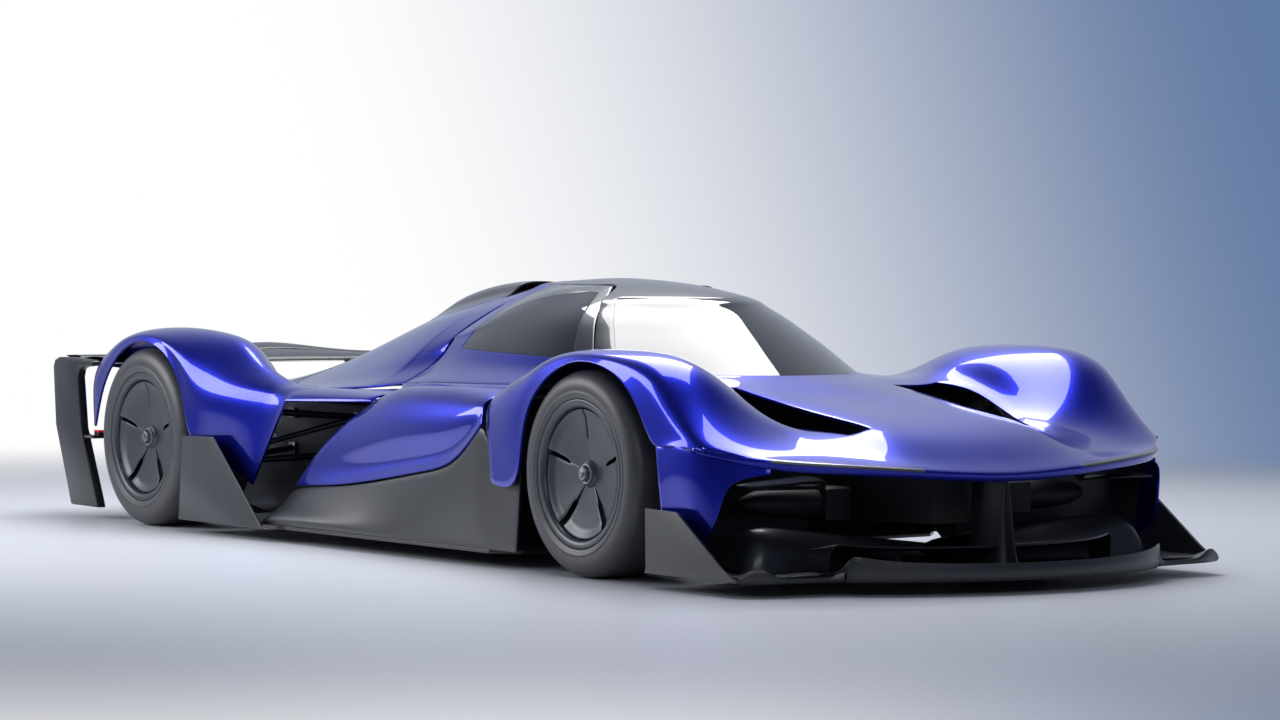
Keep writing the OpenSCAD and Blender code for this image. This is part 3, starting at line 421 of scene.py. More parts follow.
FRONT_ARCH = ((-10, 2), (30, -6), (60, -12), (95, -4), (130, 30), (150, 44), (166, 74), (190, 104))
nose_edge = nose_row((-1066, 367), (165, -1059, 372), (330, -1039, 382), (470, -1006, 391), (650, -944, 403),
                     (800, -856, 415), (892, -752, 428), (956, -665, 448))
fold = np.array([(-p[0] * 0.004, 10, -22) for p in nose_edge])  # the lip folded back under the nose
fold[6:] *= 0.3
clam = [
    nose_edge + fold,
    nose_edge,
    nose_edge + (0, 14, 13),
    nose_row((-985, 410), (160, -980, 414), (325, -955, 420), (450, -925, 418), (640, -860, 425),
             (800, -795, 440), (918, -715, 456), (965, -610, 452)),
    nose_row((-880, 468), (155, -875, 470), (325, -850, 472), (425, -820, 458), (630, -760, 460),
             (800, -700, 492), (932, -625, 512), (968, -535, 466)),
    nose_row((-750, 508), (150, -745, 510), (330, -740, 512), (385, -735, 492), (620, -660, 492),
             (795, -590, 582), (938, -520, 600), arch_point(FRONT_ARCH, 166, 0)),
    nose_row((-620, 534), (148, -615, 536), (334, -600, 538), (455, -590, 496), (630, -540, 560),
             (795, -490, 688), (938, -425, 682), arch_point(FRONT_ARCH, 148, 0)),
    nose_row((-480, 556), (146, -470, 558), (335, -440, 561), (515, -440, 514), (635, -400, 640),
             (800, -340, 742), (935, -290, 728), arch_point(FRONT_ARCH, 126, 0)),
    nose_row((-330, 578), (146, -320, 580), (335, -290, 582), (545, -290, 560), (632, -240, 700),
             (800, -130, 755), (935, -100, 746), arch_point(FRONT_ARCH, 101, 0)),
    nose_row((-190, 602), (148, -180, 602), (334, -140, 602), (560, -150, 603), (632, -80, 706),
             (800, 70, 752), (935, 80, 744), arch_point(FRONT_ARCH, 76, 0)),
    nose_row((-70, 626), (152, -55, 625), (325, 0, 622), (540, 0, 622), (636, 100, 690), (800, 250, 733),
             (935, 240, 716), arch_point(FRONT_ARCH, 51, 0)),
    nose_row((20, 643), (157, 45, 641), (318, 120, 638), (490, 160, 636), (665, 270, 648), (805, 410, 688),
             (937, 370, 660), arch_point(FRONT_ARCH, 25, 0)),
    nose_row((60, 650), (158, 85, 649), (315, 180, 646), (480, 290, 642), (675, 420, 636), (825, 540, 645),
             (940, 480, 604), arch_point(FRONT_ARCH, -8, 0)),
    nose_row((86, 655), canopy_point(655, 20), canopy_point(655, 40), canopy_point(655, 57), (625, 560, 625),
             (800, 640, 597), (905, 655, 562), (952, 562, 288)),
]
paint = Finish("body_blue_clearcoat", Metallic=0.9, Coat_Roughness=0.03, Coat_IOR=1.45)
flakes = paint.node("ShaderNodeTexVoronoi", {"feature": "F1"}, {"Vector": paint.place, "Scale": 900.0}, 1)
peel = paint.noise(160, 2)
depth = paint.noise(3, 3)
paint.give(
    Base_Color=paint.blend(depth * 0.25 + flakes.math("MULTIPLY", 0.55), PAINT_DARK, PAINT_LIGHT),
    Roughness=paint.noise(700, 1) * 0.12 + 0.26,
    Coat_Weight=peel * 0.1 + 0.92,
    Normal=paint.bump(flakes, 0.00004, 0.12),
)
DOWN, OVER = 6, 6  # cells for each step of the table
clam_grid = surface(both_ways(placed(clam)), DOWN, OVER)


def out(cell, columns):
    """Coarse column of a fine cell, counted outward from the centre."""
    coarse = cell // OVER
    return coarse - columns if coarse >= columns else columns - 1 - coarse


def is_nostril(i, j):
    return out(j, 8) == 2 and 5 <= i // DOWN < 10


def is_lamp(i, j):
    return i // DOWN == 1 and 2 <= out(j, 8) < 5


nose = panel("nose_clamshell", clam_grid, [paint, carbon], "root",
             lambda i, j: not is_nostril(i, j) and not is_lamp(i, j))
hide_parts("front_clamshell")

# Lamp strips: smoked polycarbonate covers set flush in the nose edge, finely ribbed behind. They are
# bonded to the clamshell from inside.
lamp = Finish("lamp_clear_cover", Metallic=0.3, Coat_Weight=1.0, Coat_Roughness=0.03)
ribs = (lamp.axes()[0] * 900).math("SINE")
lamp.give(
    Base_Color=lamp.blend(ribs * 0.5 + 0.5, (0.03, 0.035, 0.05), (0.11, 0.12, 0.15)),
    Roughness=lamp.noise(300, 2) * 0.1 + 0.12,
    Normal=lamp.bump(ribs, 0.0006, 0.5),
)
lamps = panel("nose_lamp_strips", clam_grid, [lamp], "root", is_lamp, gap=0.0006, rim=0)
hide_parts("front_lamps")

# Cheeks: painted lower fender ahead of each front wheel, moulded in carbon fibre. It stands on the
# splitter and is pinned to the clamshell along its upper edge.


def flipped(fine):
    """The same grid on the other side of the car."""
    return (np.asarray(fine) * (-1, 1, 1))[:, ::-1]


def paired(fine):
    """A grid for the left side and its mirror image for the right."""
    return (("left", fine), ("right", flipped(fine)))


CHEEK = placed([
    [(797, -844, 398), (799, -846, 385), (799, -846, 382), (799, -846, 379), (799, -846, 61)],
    [(882, -745, 430), (889, -751, 398), (892, -758, 374), (892, -762, 350), (892, -762, 61)],
    [(914, -704, 438), (920, -713, 380), (918, -724, 322), (912, -735, 265), (912, -735, 61)],
    [(941, -658, 450), (945, -661, 362), (938, -680, 272), (930, -700, 190), (930, -700, 61)],
    [(953, -604, 454), (957, -602, 345), (947, -625, 240), (938, -648, 138), (938, -648, 61)],
    [(956, -530, 466), (962, -530, 355), (951, -555, 232), (941, -590, 110), (941, -590, 60.4)],
    [(958, -436, 454), (965, -462, 350), (961, -480, 225), (951, -500, 100), (951, -500, 60.4)],
])
cheek_grid = surface(CHEEK, 6, 6, (), (3,))
for side, fine in paired(cheek_grid):
    cheek = panel(f"cheek_{side}", fine, [paint], "root",
                  lambda i, j: (j < 18 if side == "left" else j >= 6) or i >= 30)
    if side == "left":
        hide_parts("cheeks")

# Ducts under the nose: dark carbon liners bonded inside the cheeks. A wall closes off each front wheel,
# a rounded ramp rises behind the splitter tiers, and a vane and a small cooler pod sit in the mouth.
LINER = 0.004  # thickness of a duct liner, metres
wall = []
for x, y in ((944, -606), (925, -560), (898, -500), (850, -455), (790, -430), (720, -410), (650, -400),
             (560, -392), (430, -388), (310, -386)):
    wall.append([(x, y + 30 * ((z - 62) / 380) ** 2 * (x < 700), z) for z in (62, 190, 320, 440)])
ramp = []
for x, front, crest, high, back in ((838, -742, -700, 70, -470), (822, -772, -694, 116, -465),
                                    (790, -790, -686, 172, -455), (745, -792, -676, 199, -440),
                                    (660, -778, -655, 198, -425), (560, -758, -640, 188, -418),
                                    (430, -730, -622, 172, -412), (300, -704, -606, 158, -408),
                                    (200, -688, -598, 146, -408), (150, -680, -594, 120, -420),
                                    (136, -676, -594, 66, -430)):
    ramp.append([(x, front, 61.5), (x, mixed(front, crest, 0.12), mixed(61.5, high, 0.5)),
                 (x, mixed(front, crest, 0.45), mixed(61.5, high, 0.86)), (x, crest, high),
                 (x, mixed(crest, back, 0.5), mixed(high, 100, 0.3)), (x, back, mixed(high, 100, 0.75)),
                 (x, back, 61.5)])
vane = []
for x, y, z, chord, thick in ((838, -778, 328, 70, 8), (800, -794, 334, 94, 9), (680, -806, 343, 104, 9),
                              (590, -804, 350, 96, 9), (556, -796, 350, 80, 9), (540, -786, 340, 60, 8),
                              (534, -778, 322, 40, 7)):
    vane.append([(x, y - chord * 0.12, z), (x, y, z + thick * 0.5), (x, y + chord * 0.5, z + thick * 0.4 + 6),
                 (x, y + chord, z + 12), (x, y + chord * 0.5, z - thick * 0.3 + 4), (x, y, z - thick * 0.5)])
pod = []
for x, r in ((716, 4), (700, 20), (660, 36), (600, 47), (520, 52), (440, 52), (430, 46)):
    pod.append([(x, -560 + 1.5 * r * math.cos(a), 268 + r * math.sin(a))
                for a in np.linspace(0, math.tau, 14, endpoint=False)])
box = []
chamfered = ((-1, -0.9), (-1, 0.9), (-0.9, 1), (0.9, 1), (1, 0.9), (1, -0.9), (0.9, -1), (-0.9, -1))
for x, near in ((428, 0.96), (424, 1), (330, 1), (326, 0.96)):
    box.append([(x, -560 + u * 85 * near, 262 + v * 56 * near) for u, v in chamfered])
for label, side in SIDES:
    wall_grid = surface(placed(wall, side), 4, 4)
    panel(f"duct_wall_{label}", wall_grid[::side], [carbon, cabin], "root", thick=LINER, rim=0)
    lofted(f"duct_ramp_{label}", placed(ramp, side), 4, carbon, across=3, angle=60)
    lofted(f"duct_vane_{label}", placed(vane, side), 4, carbon, across=2, angle=60)
    lofted(f"cooler_pod_{label}", placed(pod, side), 3, cabin, across=1, angle=50)
    lofted(f"cooler_box_{label}", placed(box, side), 1, cabin, angle=30)

# Roof: dark gloss carbon shell with the front pillars, the header band and the centre panel over the
# heads. It is moulded in one piece, bonded to the tub, and carries the door hinges.
dark_gloss = Finish("roof_dark_gloss", Metallic=0.25, Coat_Roughness=0.04)
roof_weave = weave(dark_gloss, 0.002)
roof_haze = dark_gloss.noise(4, 3)
dark_gloss.give(
    Base_Color=dark_gloss.blend(roof_haze * 0.6 + roof_weave * 0.2,
                                (0.012, 0.013, 0.018), (0.028, 0.031, 0.042)),
    Roughness=roof_haze * 0.12 + 0.26,
    Coat_Weight=dark_gloss.noise(150, 2) * 0.1 + 0.9,
)
SCREEN_ANGLES = (0, 20, 40, 57)
HINGE_X = 165  # distance of the door hinge line from the centre, mm
GLASS = 0.006  # thickness of the glass, metres
roof_rows = [[canopy_point(z, a) for a in (*SCREEN_ANGLES, 64)]
             for z in (655, 700, 745, 795, 840, 885, 910, 955)]
roof_rows += [[(HINGE_X * k / 4, y, mixed(z, 955, (k / 4) ** 2)) for k in range(5)]
              for y, z in ((1080, 976), (1220, 977), (1340, 972), (1450, 966))]
roof_grid = surface(both_ways(placed(roof_rows)), 6, 6)


def is_screen(i, j):
    return i // 6 < 6 and out(j, 4) < 3


roof = panel("roof_shell", roof_grid, [dark_gloss, cabin], "root", lambda i, j: not is_screen(i, j))
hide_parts("roof")

# Windscreen: one wrapped sheet of tinted laminated glass, bonded to the roof pillars and the cowl.
glass = Finish("tinted_glass", Metallic=0.0, Coat_Weight=1.0, Coat_Roughness=0.01, Coat_IOR=1.5, IOR=1.55)
glass.give(
    Base_Color=glass.blend(glass.noise(2, 2), (0.004, 0.005, 0.007), (0.008, 0.01, 0.014)),
    Roughness=glass.noise(40, 2) * 0.03 + 0.02,
    Alpha=0.86,
)
screen = panel("windscreen_glass", roof_grid, [glass], "root", is_screen, thick=GLASS, gap=0.0008, rim=0)
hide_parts("windscreen")

# Doors: thin carbon shells, painted below and dark gloss round the glass, hinged along the roof edge.
# They open up and out with the side glass bonded in them.
# Each station has an angle, the line and height of the top, the height of the belt, and the sill.
DOOR_ROWS = ((64.6, 960, 935, 700, 80, 622), (72.0, 1030, 932, 702, 84, 618), (84.0, 1130, 930, 706, 90, 612),
             (96.0, 1220, 912, 711, 96, 608), (107.0, 1310, 866, 717, 102, 604),
             (115.0, 1390, 800, 722, 108, 598), (123.0, 1450, 770, 726, 114, 590))
DOOR_GAP = 6  # shut gap round a door, mm


def sill_point(row):
    return canopy_point(655, row[0]) * (1, 1, 0) + (row[4], 20, row[5])


def door_station(row):
    top = np.array((HINGE_X + DOOR_GAP, row[1], 953), float)
    high, belt = row[2], row[3]
    side_line = [canopy_point(z, row[0])
                 for z in (high, mixed(high, belt, 0.33), mixed(high, belt, 0.67), belt, 660)]
    return [top, mixed(top, side_line[0], 0.5) + (9, 0, 7), *side_line, sill_point(row)]


door_rows = np.array([door_station(row) for row in DOOR_ROWS])
door_grid = surface(placed(door_rows), 8, 6)
for side, fine in paired(door_grid):

    def place_of(i, j, left=side == "left"):
        """Coarse row and column of a cell, the column counted outward from the hinge."""
        return i // 8, j // 6 if left else 6 - j // 6

    def is_window(i, j):
        row, column = place_of(i, j)
        return 1 <= row < 5 and 2 <= column < 5

    def is_frame(i, j):
        row, column = place_of(i, j)
        return not is_window(i, j) and (column < 2 and row < 5 or column < 5 and row < 1)

    skin = panel(f"door_{side}_skin", fine, [paint, cabin], f"door_{side}_body",
                 lambda i, j: not is_window(i, j) and not is_frame(i, j))
    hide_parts(f"door_{side}")
    panel(f"door_{side}_upper_frame", fine, [dark_gloss, cabin], f"door_{side}_body", is_frame, rim=0.0006)
    window = panel(f"door_{side}_window", fine, [glass], f"door_{side}_body", is_window,
                   thick=GLASS, gap=0.0012, rim=0)
    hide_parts(f"door_glass_{side}")

# Engine cover: painted shell from the roof back to the tail between the fenders, with a dark
# glossy scoop along its spine that feeds the engine.
cover_edge = [door_rows[-1][j] + (1, DOOR_GAP + 1, -1) for j in (1, 2, 5, 6, 7)]
cover_body = [
    [(0, 1790, 959), (60, 1790, 955), (106, 1790, 934), (142, 1792, 898), (285, 1775, 850), (410, 1800, 765),
     (495, 1840, 680), (560, 1870, 615), (655, 1890, 572)],
    [(0, 1980, 940), (56, 1980, 935), (98, 1980, 910), (130, 1980, 868), (278, 1980, 820), (396, 1990, 735),
     (486, 2010, 655), (560, 2020, 597), (652, 2030, 564)],
    [(0, 2216, 893), (42, 2216, 888), (72, 2216, 864), (102, 2216, 832), (262, 2220, 766), (374, 2230, 686),
     (472, 2240, 616), (556, 2250, 572), (648, 2260, 552)],
    [(0, 2400, 830), (30, 2400, 822), (55, 2400, 806), (90, 2400, 792), (250, 2410, 720), (360, 2420, 650),
     (460, 2430, 590), (550, 2440, 556), (645, 2450, 545)],
    [(0, 2750, 712), (25, 2750, 706), (50, 2750, 696), (85, 2750, 688), (225, 2750, 638), (330, 2750, 590),
     (430, 2750, 556), (510, 2750, 543), (582, 2750, 540)],
    [(0, 3100, 612), (25, 3100, 609), (50, 3100, 605), (85, 3100, 600), (210, 3100, 572), (310, 3100, 552),
     (410, 3100, 540), (510, 3100, 534), (580, 3100, 532)],
    [(0, 3430, 540), (25, 3430, 539), (50, 3430, 538), (85, 3430, 535), (200, 3430, 528), (300, 3430, 522),
     (400, 3430, 518), (500, 3430, 515), (584, 3430, 512)],
]
cover = [
    [(0, 1457, 957), (50, 1457, 956), (100, 1457, 952), (166, 1457, 946), *cover_edge],
    [(0, 1580, 945), (50, 1580, 944), (100, 1580, 937), (163, 1580, 926),
     *[mixed(cover_edge[k], cover_body[0][k + 4], 0.36) for k in range(5)]],
    [(0, 1700, 928), (50, 1700, 927), (97, 1700, 920), (158, 1702, 903),
     *[mixed(cover_edge[k], cover_body[0][k + 4], 0.73) for k in range(5)]],
    [(0, 1712, 960), (58, 1712, 957), (104, 1714, 942), (150, 1717, 902),
     *[mixed(cover_edge[k], cover_body[0][k + 4], 0.77) for k in range(5)]],
    *cover_body,
]
cover_grid = surface(both_ways(placed(cover)), 6, 6, (2, 3))


def is_scoop(i, j):
    return 2 <= i // 6 < 7 and out(j, 8) < 3


def is_roof_band(i, j):
    return i // 6 < 2 and out(j, 8) < 3


shell = panel("engine_cover_shell", cover_grid, [paint, carbon], "root",
              lambda i, j: not is_scoop(i, j) and not is_roof_band(i, j))
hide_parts("engine_cover")
scoop = panel("roof_scoop_shell", cover_grid, [dark_gloss, cabin], "root",
              lambda i, j: is_scoop(i, j) and i >= 18)
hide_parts("roof_scoop")
panel("roof_rear_band", cover_grid, [dark_gloss, cabin], "root", is_roof_band)
# Floor of the scoop, carrying the air down into the engine bay
duct = [[(x, y, z - 0.0016 * abs(x) ** 1.55) for x in (-104, -60, 0, 60, 104)]
        for y, z in ((1698, 925), (1760, 920), (1850, 905), (1950, 870))]
panel("scoop_floor", surface(placed(duct), 4, 3), [cabin], "root", thick=LINER, rim=0)

# Rear fenders: painted carbon shells arched over the rear wheels, with a flared side ahead of the
# tyre. Each is one moulding, pinned to the engine cover along its inner edge.
WHEELBASE = 3070  # mm
REAR_ARCH = ((-10, 10), (25, -6), (60, -12), (90, -4), (120, 2), (150, 6), (182, 32))


def fender_row(foot, slope, crest, shoulder, lip):
    return [foot, slope, crest, shoulder, mixed(shoulder, lip, 0.5) + (6, 0, 0), lip]


fender_rows = [
    fender_row((628, 1452, 576), (728, 1532, 557), (796, 1546, 554), (826, 1546, 546), (842, 1544, 529)),
    fender_row((642, 1800, 564), (738, 1800, 564), (800, 1800, 560), (844, 1798, 547), (868, 1796, 523)),
    fender_row((644, 2050, 552), (736, 2050, 562), (800, 2050, 562), (862, 2058, 546), (894, 2080, 516)),
    fender_row((650, 2190, 545), (735, 2190, 562), (800, 2190, 568), (884, 2200, 540), (914, 2290, 196)),
    fender_row((655, 2390, 548), (730, 2390, 582), (800, 2395, 640), (930, 2410, 560), (932, 2440, 262)),
    fender_row((622, 2560, 550), (680, 2560, 640), (800, 2565, 728), (950, 2590, 590),
               arch_point(REAR_ARCH, 182, WHEELBASE)),
    fender_row((592, 2730, 552), (622, 2725, 676), (800, 2720, 757), (948, 2730, 668),
               arch_point(REAR_ARCH, 152, WHEELBASE)),
    fender_row((590, 2900, 552), (618, 2900, 702), (800, 2900, 769), (940, 2885, 728),
               arch_point(REAR_ARCH, 121, WHEELBASE)),
    fender_row((588, 3090, 546), (618, 3090, 712), (800, 3090, 767), (938, 3080, 748),
               arch_point(REAR_ARCH, 90, WHEELBASE)),
    fender_row((590, 3260, 538), (618, 3262, 690), (812, 3275, 747), (938, 3270, 720),
               arch_point(REAR_ARCH, 60, WHEELBASE)),
    fender_row((594, 3390, 528), (628, 3400, 640), (832, 3415, 706), (940, 3410, 652),
               arch_point(REAR_ARCH, 30, WHEELBASE)),
    fender_row((600, 3470, 518), (650, 3480, 592), (850, 3490, 650), (942, 3488, 602),
               arch_point(REAR_ARCH, 4, WHEELBASE)),
    fender_row((606, 3505, 505), (680, 3512, 552), (865, 3516, 610), (935, 3516, 560), (934, 3528, 392)),
]
fender_grid = surface(placed(fender_rows), 6, 8, (2, 3))
for side, fine in paired(fender_grid):
    fender = panel(f"fender_{side}", fine, [paint, carbon], "root")
    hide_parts(f"rear_fender_{side}")

# Sidepods: painted side panels from the door sill down to the dark skirt, pinched toward the rear
# wheel, with a crease that runs out into a pointed end.
POD = [
    [(745, 640, 604), (892, 670, 572), (922, 655, 530), (934, 648, 512), (941, 642, 487)],
    [(755, 715, 604), (898, 730, 577), (932, 722, 500), (932, 716, 466), (944, 708, 432)],
    [(765, 860, 604), (897, 880, 579), (934, 872, 452), (920, 862, 396), (942, 850, 342)],
    [(768, 1060, 602), (890, 1080, 577), (926, 1072, 424), (906, 1066, 362), (934, 1060, 306)],
    [(762, 1290, 597), (876, 1296, 562), (908, 1312, 396), (888, 1322, 330), (916, 1332, 268)],
    [(745, 1430, 585), (852, 1440, 552), (882, 1560, 384), (870, 1640, 296), (892, 1690, 226)],
    [(725, 1540, 566), (826, 1560, 532), (850, 1830, 384), (852, 1960, 290), (858, 2062, 204)],
]
pod_rows = [[sill_point(DOOR_ROWS[k]) + (8, 3, -1), *row] for k, row in enumerate(POD)]
pod_grid = surface(placed(pod_rows), 8, 8)
for side, fine in paired(pod_grid):
    pod = panel(f"sidepod_{side}_skin", fine, [paint, carbon], "root")
    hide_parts(f"sidepod_{side}")

# Skirts: satin carbon lower sides from the sidepod to the floor edge, with a triangular fin ahead of
# each rear wheel.
SKIRT_FOOT = 60.5  # where the skirts stand on the floor plate, mm
skirt_rows = [[(936, 404, 352), (938, 404, 250), (948, 404, 100), (950, 404, SKIRT_FOOT)],
              [(936, 560, 368), (938, 560, 250), (948, 560, 100), (950, 560, SKIRT_FOOT)]]
for row in POD:
    x, y, z = row[-1]
    skirt_rows.append([(x - 5, y, z - 10), (mixed(x, 950, 0.45), y + 8, mixed(z, 60, 0.5)),
                       (948, y + 14, 92), (950, y + 15, SKIRT_FOOT)])
skirt_rows.append([(838, 2160, 120), (880, 2165, 96), (930, 2168, 72), (950, 2170, SKIRT_FOOT)])
skirt_grid = surface(placed(skirt_rows), 8, 6)
for side, fine in paired(skirt_grid):
    panel(f"side_skirt_{side}", fine, [carbon, cabin], "root")
fins = edged("side_skirt_fins", "side_skirts", carbon, 0.0015, 0.2)
cut(fins, lambda f: abs(f.center[0]) < 0.975)

# Rear wing: main plane and flap of moulded carbon fibre between thick endplates. Two pylons from the
# tail hold the main plane, and the endplates close its tips.
WING_FRONT = 3460  # leading edge of the wing, mm


def foil(chord, thick, back, lift, tilt, x):
    """Section of a wing blade, with the crown of the wing in its middle."""
    crown = 46 * math.exp(-((x / 290) ** 2))
    points = []
    for t, top, low in ((0, 0, 0), (0.03, 0.3, -0.14), (0.12, 0.52, -0.3), (0.3, 0.6, -0.42),
                        (0.55, 0.5, -0.36), (0.8, 0.3, -0.2), (1, 0.06, -0.04)):
        y = WING_FRONT + back + t * chord
        rise = lift + crown * (back + t * chord) / 370 + t * tilt
        points.append(((x, y, rise + top * thick), (x, y, rise + low * thick)))
    return [p[0] for p in points] + [p[1] for p in points[:0:-1]]


SPAN = (-908, -700, -520, -400, -300, -200, -100, 0, 100, 200, 300, 400, 520, 700, 908)
main_plane = lofted("wing_main_plane", placed([foil(236, 30, 0, 622, 8, x) for x in SPAN]), 3, carbon,
                    across=2, angle=50)
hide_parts("rear_wing")
lofted("wing_flap", placed([foil(128, 15, 234, 634, 6, x) for x in SPAN]), 3, carbon, across=2, angle=50)
neck = []
for y, z, deep in ((3400, 528, 62), (3408, 560, 54), (3430, 590, 44), (3470, 615, 36), (3520, 634, 26),
                   (3570, 640, 14)):
    fore, aft, slant = y - deep / 2, y + deep / 2, 0.2 * deep
    neck.append([(-7, fore, z + slant), (0, fore - 5, z + slant), (7, fore, z + slant),
                 (7, aft, z - slant), (0, aft + 5, z - slant), (-7, aft, z - slant)])
for label, side in SIDES:
    lofted(f"wing_pylon_{label}", placed(np.array(neck) + (side * 200, 0, 0)), 6, carbon, across=2, angle=50)
ends = edged("wing_endplates", "endplates", carbon, 0.008)
SHOULDER = 0.56  # the endplates are lowered above this height
for point in ends.data.vertices:
    if point.co.z > SHOULDER:
        point.co.z = SHOULDER + (point.co.z - SHOULDER) * 0.74

# Tail lamps: small red acrylic lenses under the tail of each fender, each clipped on a dark carbon
# housing that is screwed to the bodywork.
red = Finish("lamp_red_lens", Coat_Weight=1.0, Coat_Roughness=0.05, Emission_Strength=0.6)
red_ribs = (red.axes()[2] * 1500).math("SINE")
red.give(
    Base_Color=red.blend(red_ribs * 0.5 + 0.5, (0.35, 0.004, 0.006), (0.62, 0.012, 0.016)),
    Roughness=red.noise(200, 2) * 0.1 + 0.15,
    Emission_Color=red.blend(red_ribs * 0.5 + 0.5, (0.3, 0.0, 0.0), (0.6, 0.01, 0.01)),
    Normal=red.bump(red_ribs, 0.0004, 0.5),
)
lens = edged("tail_lamp_lenses", "tail_lamps", red, 0.0015)
housing = edged("tail_lamp_housings", "tail_lamps", carbon, 0.0015)
LAMP_FOOT, LAMP_DEPTH = 0.3303, 0.0197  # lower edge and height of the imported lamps
for piece, low, high in ((lens, 0.3425, 0.3505), (housing, LAMP_FOOT, 0.3425)):
    for point in piece.data.vertices:
        point.co.z = low + (point.co.z - LAMP_FOOT) / LAMP_DEPTH * (high - low)

# Power unit and gearbox: plain stand-ins for cast light-alloy housings with rough, sand-cast skin,
# bolted to each other and behind the tub.
cast = Finish("cast_alloy", Metallic=0.85)
grain = cast.noise(400, 4)
cast.give(
    Base_Color=cast.blend(cast.noise(6, 4), (0.08, 0.08, 0.085), (0.16, 0.16, 0.165)),
    Roughness=grain * 0.25 + 0.4,
    Normal=cast.bump(grain, 0.0004, 0.5),
)
edged("engine_block", "engine", cast, 0.012)
edged("gearbox_case", "gearbox", cast, 0.012)

# Suspension: wishbones and pushrods of welded steel tube, and machined knuckles and uprights that
# carry the wheel spindles. Rod ends are bolted to the tub and to the gearbox.
steel = Finish("suspension_steel", Metallic=0.9)
brushed = steel.noise(60, 3, steel.stretched((1, 14, 14)))
steel.give(
    Base_Color=steel.blend(brushed, (0.16, 0.17, 0.19), (0.34, 0.35, 0.38)),
    Roughness=brushed * 0.2 + 0.28,
    Normal=steel.bump(brushed, 0.0001, 0.3),
)
for node, body in (("front_arms", "root"), ("rear_arms", "root"), ("knuckle_left", "steer_left_body"),
                   ("knuckle_right", "steer_right_body"), ("rear_uprights", "root")):
    edged(f"{node}_{'tubes' if 'arms' in node else 'machined'}", node, steel, 0.0015, 0.2, body)

# Wheels: forged light-alloy rims, dark anodised, each with a dished five-blade cover, a centre-lock
# nut and a steel brake disc behind it. The blades leave a thin slot between them, raised at one side.
REAR = 1.77  # rear axle along the car, metres
AXLE = 0.345  # height of both axles
WHEEL_RIM = 0.247  # outer radius of a rim
WHEEL_FACE, TYRE_FACE = 0.967, 0.975  # outer faces from the centre of the car
COVER_SLOTS = 5
COVER_IN, COVER_OUT = 0.040, 0.2145  # radii of the cover blades
anodised = Finish("wheel_dark_anodised", Metallic=0.6, Coat_Weight=0.25, Coat_Roughness=0.25)
fine_grain = anodised.noise(500, 3)
anodised.give(
    Base_Color=anodised.blend(anodised.noise(8, 3), (0.055, 0.058, 0.07), (0.1, 0.105, 0.125)),
    Roughness=fine_grain * 0.15 + 0.34,
    Normal=anodised.bump(fine_grain, 0.0001, 0.3),
)
rubber = Finish("tyre_rubber", Metallic=0.0, Specular_IOR_Level=0.5, Coat_Weight=0.2, Coat_Roughness=0.35)
scuff = rubber.noise(30, 5)
rubber.give(
    Base_Color=rubber.blend(scuff, (0.050, 0.051, 0.057), (0.088, 0.090, 0.098)),
    Roughness=scuff * 0.16 + 0.36,
    Normal=rubber.bump(rubber.noise(350, 4), 0.0003, 0.35),
)


def eased(points, radius, steps=3):
    """Closed outline with its corners rounded."""
    points = np.asarray(points, float)
    line = []
    for k, corner in enumerate(points):
        before, after = points[k - 1] - corner, points[(k + 1) % len(points)] - corner
        reach = min(radius, np.linalg.norm(before) * 0.45, np.linalg.norm(after) * 0.45)
        first = corner + before / np.linalg.norm(before) * reach
        last = corner + after / np.linalg.norm(after) * reach
        for t in np.linspace(0, 1, steps):
            line.append((1 - t) ** 2 * first + 2 * t * (1 - t) * corner + t * t * last)
    return np.array(line)


def turned(name, outline, axle, side, face, turns=96):
    """Ring spun about an axle from a closed outline of (radius, depth behind the wheel's outer face)."""
    bpy.ops.mesh.primitive_circle_add(vertices=len(outline), fill_type="NOTHING")
    obj = bpy.context.object
    obj.name = obj.data.name = name
    points = [(side * (face - depth), axle, AXLE + radius) for radius, depth in outline]
    obj.data.vertices.foreach_set("co", np.array(points, np.float32).reshape(-1))
    edit(obj)
    bpy.ops.mesh.spin(steps=turns, angle=math.tau, center=(0, axle, AXLE), axis=(1, 0, 0))
    bpy.ops.mesh.select_all(action="SELECT")
    bpy.ops.mesh.remove_doubles(threshold=0.0001)
    bpy.ops.mesh.normals_make_consistent(inside=False)
    close()
    return obj


def joined(name, parts):
    bpy.ops.object.select_all(action="DESELECT")
    for part in parts:
        part.select_set(True)
    bpy.context.view_layer.objects.active = parts[0]
    bpy.ops.object.join()
    parts[0].name = parts[0].data.name = name
    return parts[0]


def blades(axle, side, face):
    """Cover blades: fine sectors laid in polar steps, dished toward the hub and tilted across."""
    parts = []
    sector = math.tau / COVER_SLOTS
    for n in range(COVER_SLOTS):
        rows = []
        for t in np.linspace(0, 1, 13):
            row = []
            for r in np.linspace(COVER_IN, COVER_OUT, 23):
                gap = np.interp(r, (COVER_IN, 0.108, 0.118, COVER_OUT), (0.0007, 0.0007, 0.0080, 0.0095)) / r
                turn = math.pi / 2 + sector * n + gap + (sector - 2 * gap) * t
                depth = np.interp(r, (COVER_IN, 0.06, 0.14, 0.187, 0.207, COVER_OUT),
                                  (0.047, 0.045, 0.036, 0.029, 0.019, 0.0165))
                lift = 0.004 * math.sin(math.pi * min(1, (r - COVER_IN) / 0.12) / 2) * (t - 0.5) * 2
                row.append((side * (face - depth + lift), axle + side * r * math.cos(turn),
                            AXLE + r * math.sin(turn)))
            rows.append(row)
        fine = np.array(rows)
        blade = laid("blade", fine)
        normal = np.cross(fine[0, 1] - fine[0, 0], fine[1, 0] - fine[0, 0])[0] * side
        inward = -1 if normal > 0 else 1
        settle(blade, ("SOLIDIFY", {"thickness": 0.005, "offset": inward}), broken(0.0012, 2, 50))
        parts.append(blade)
    return parts


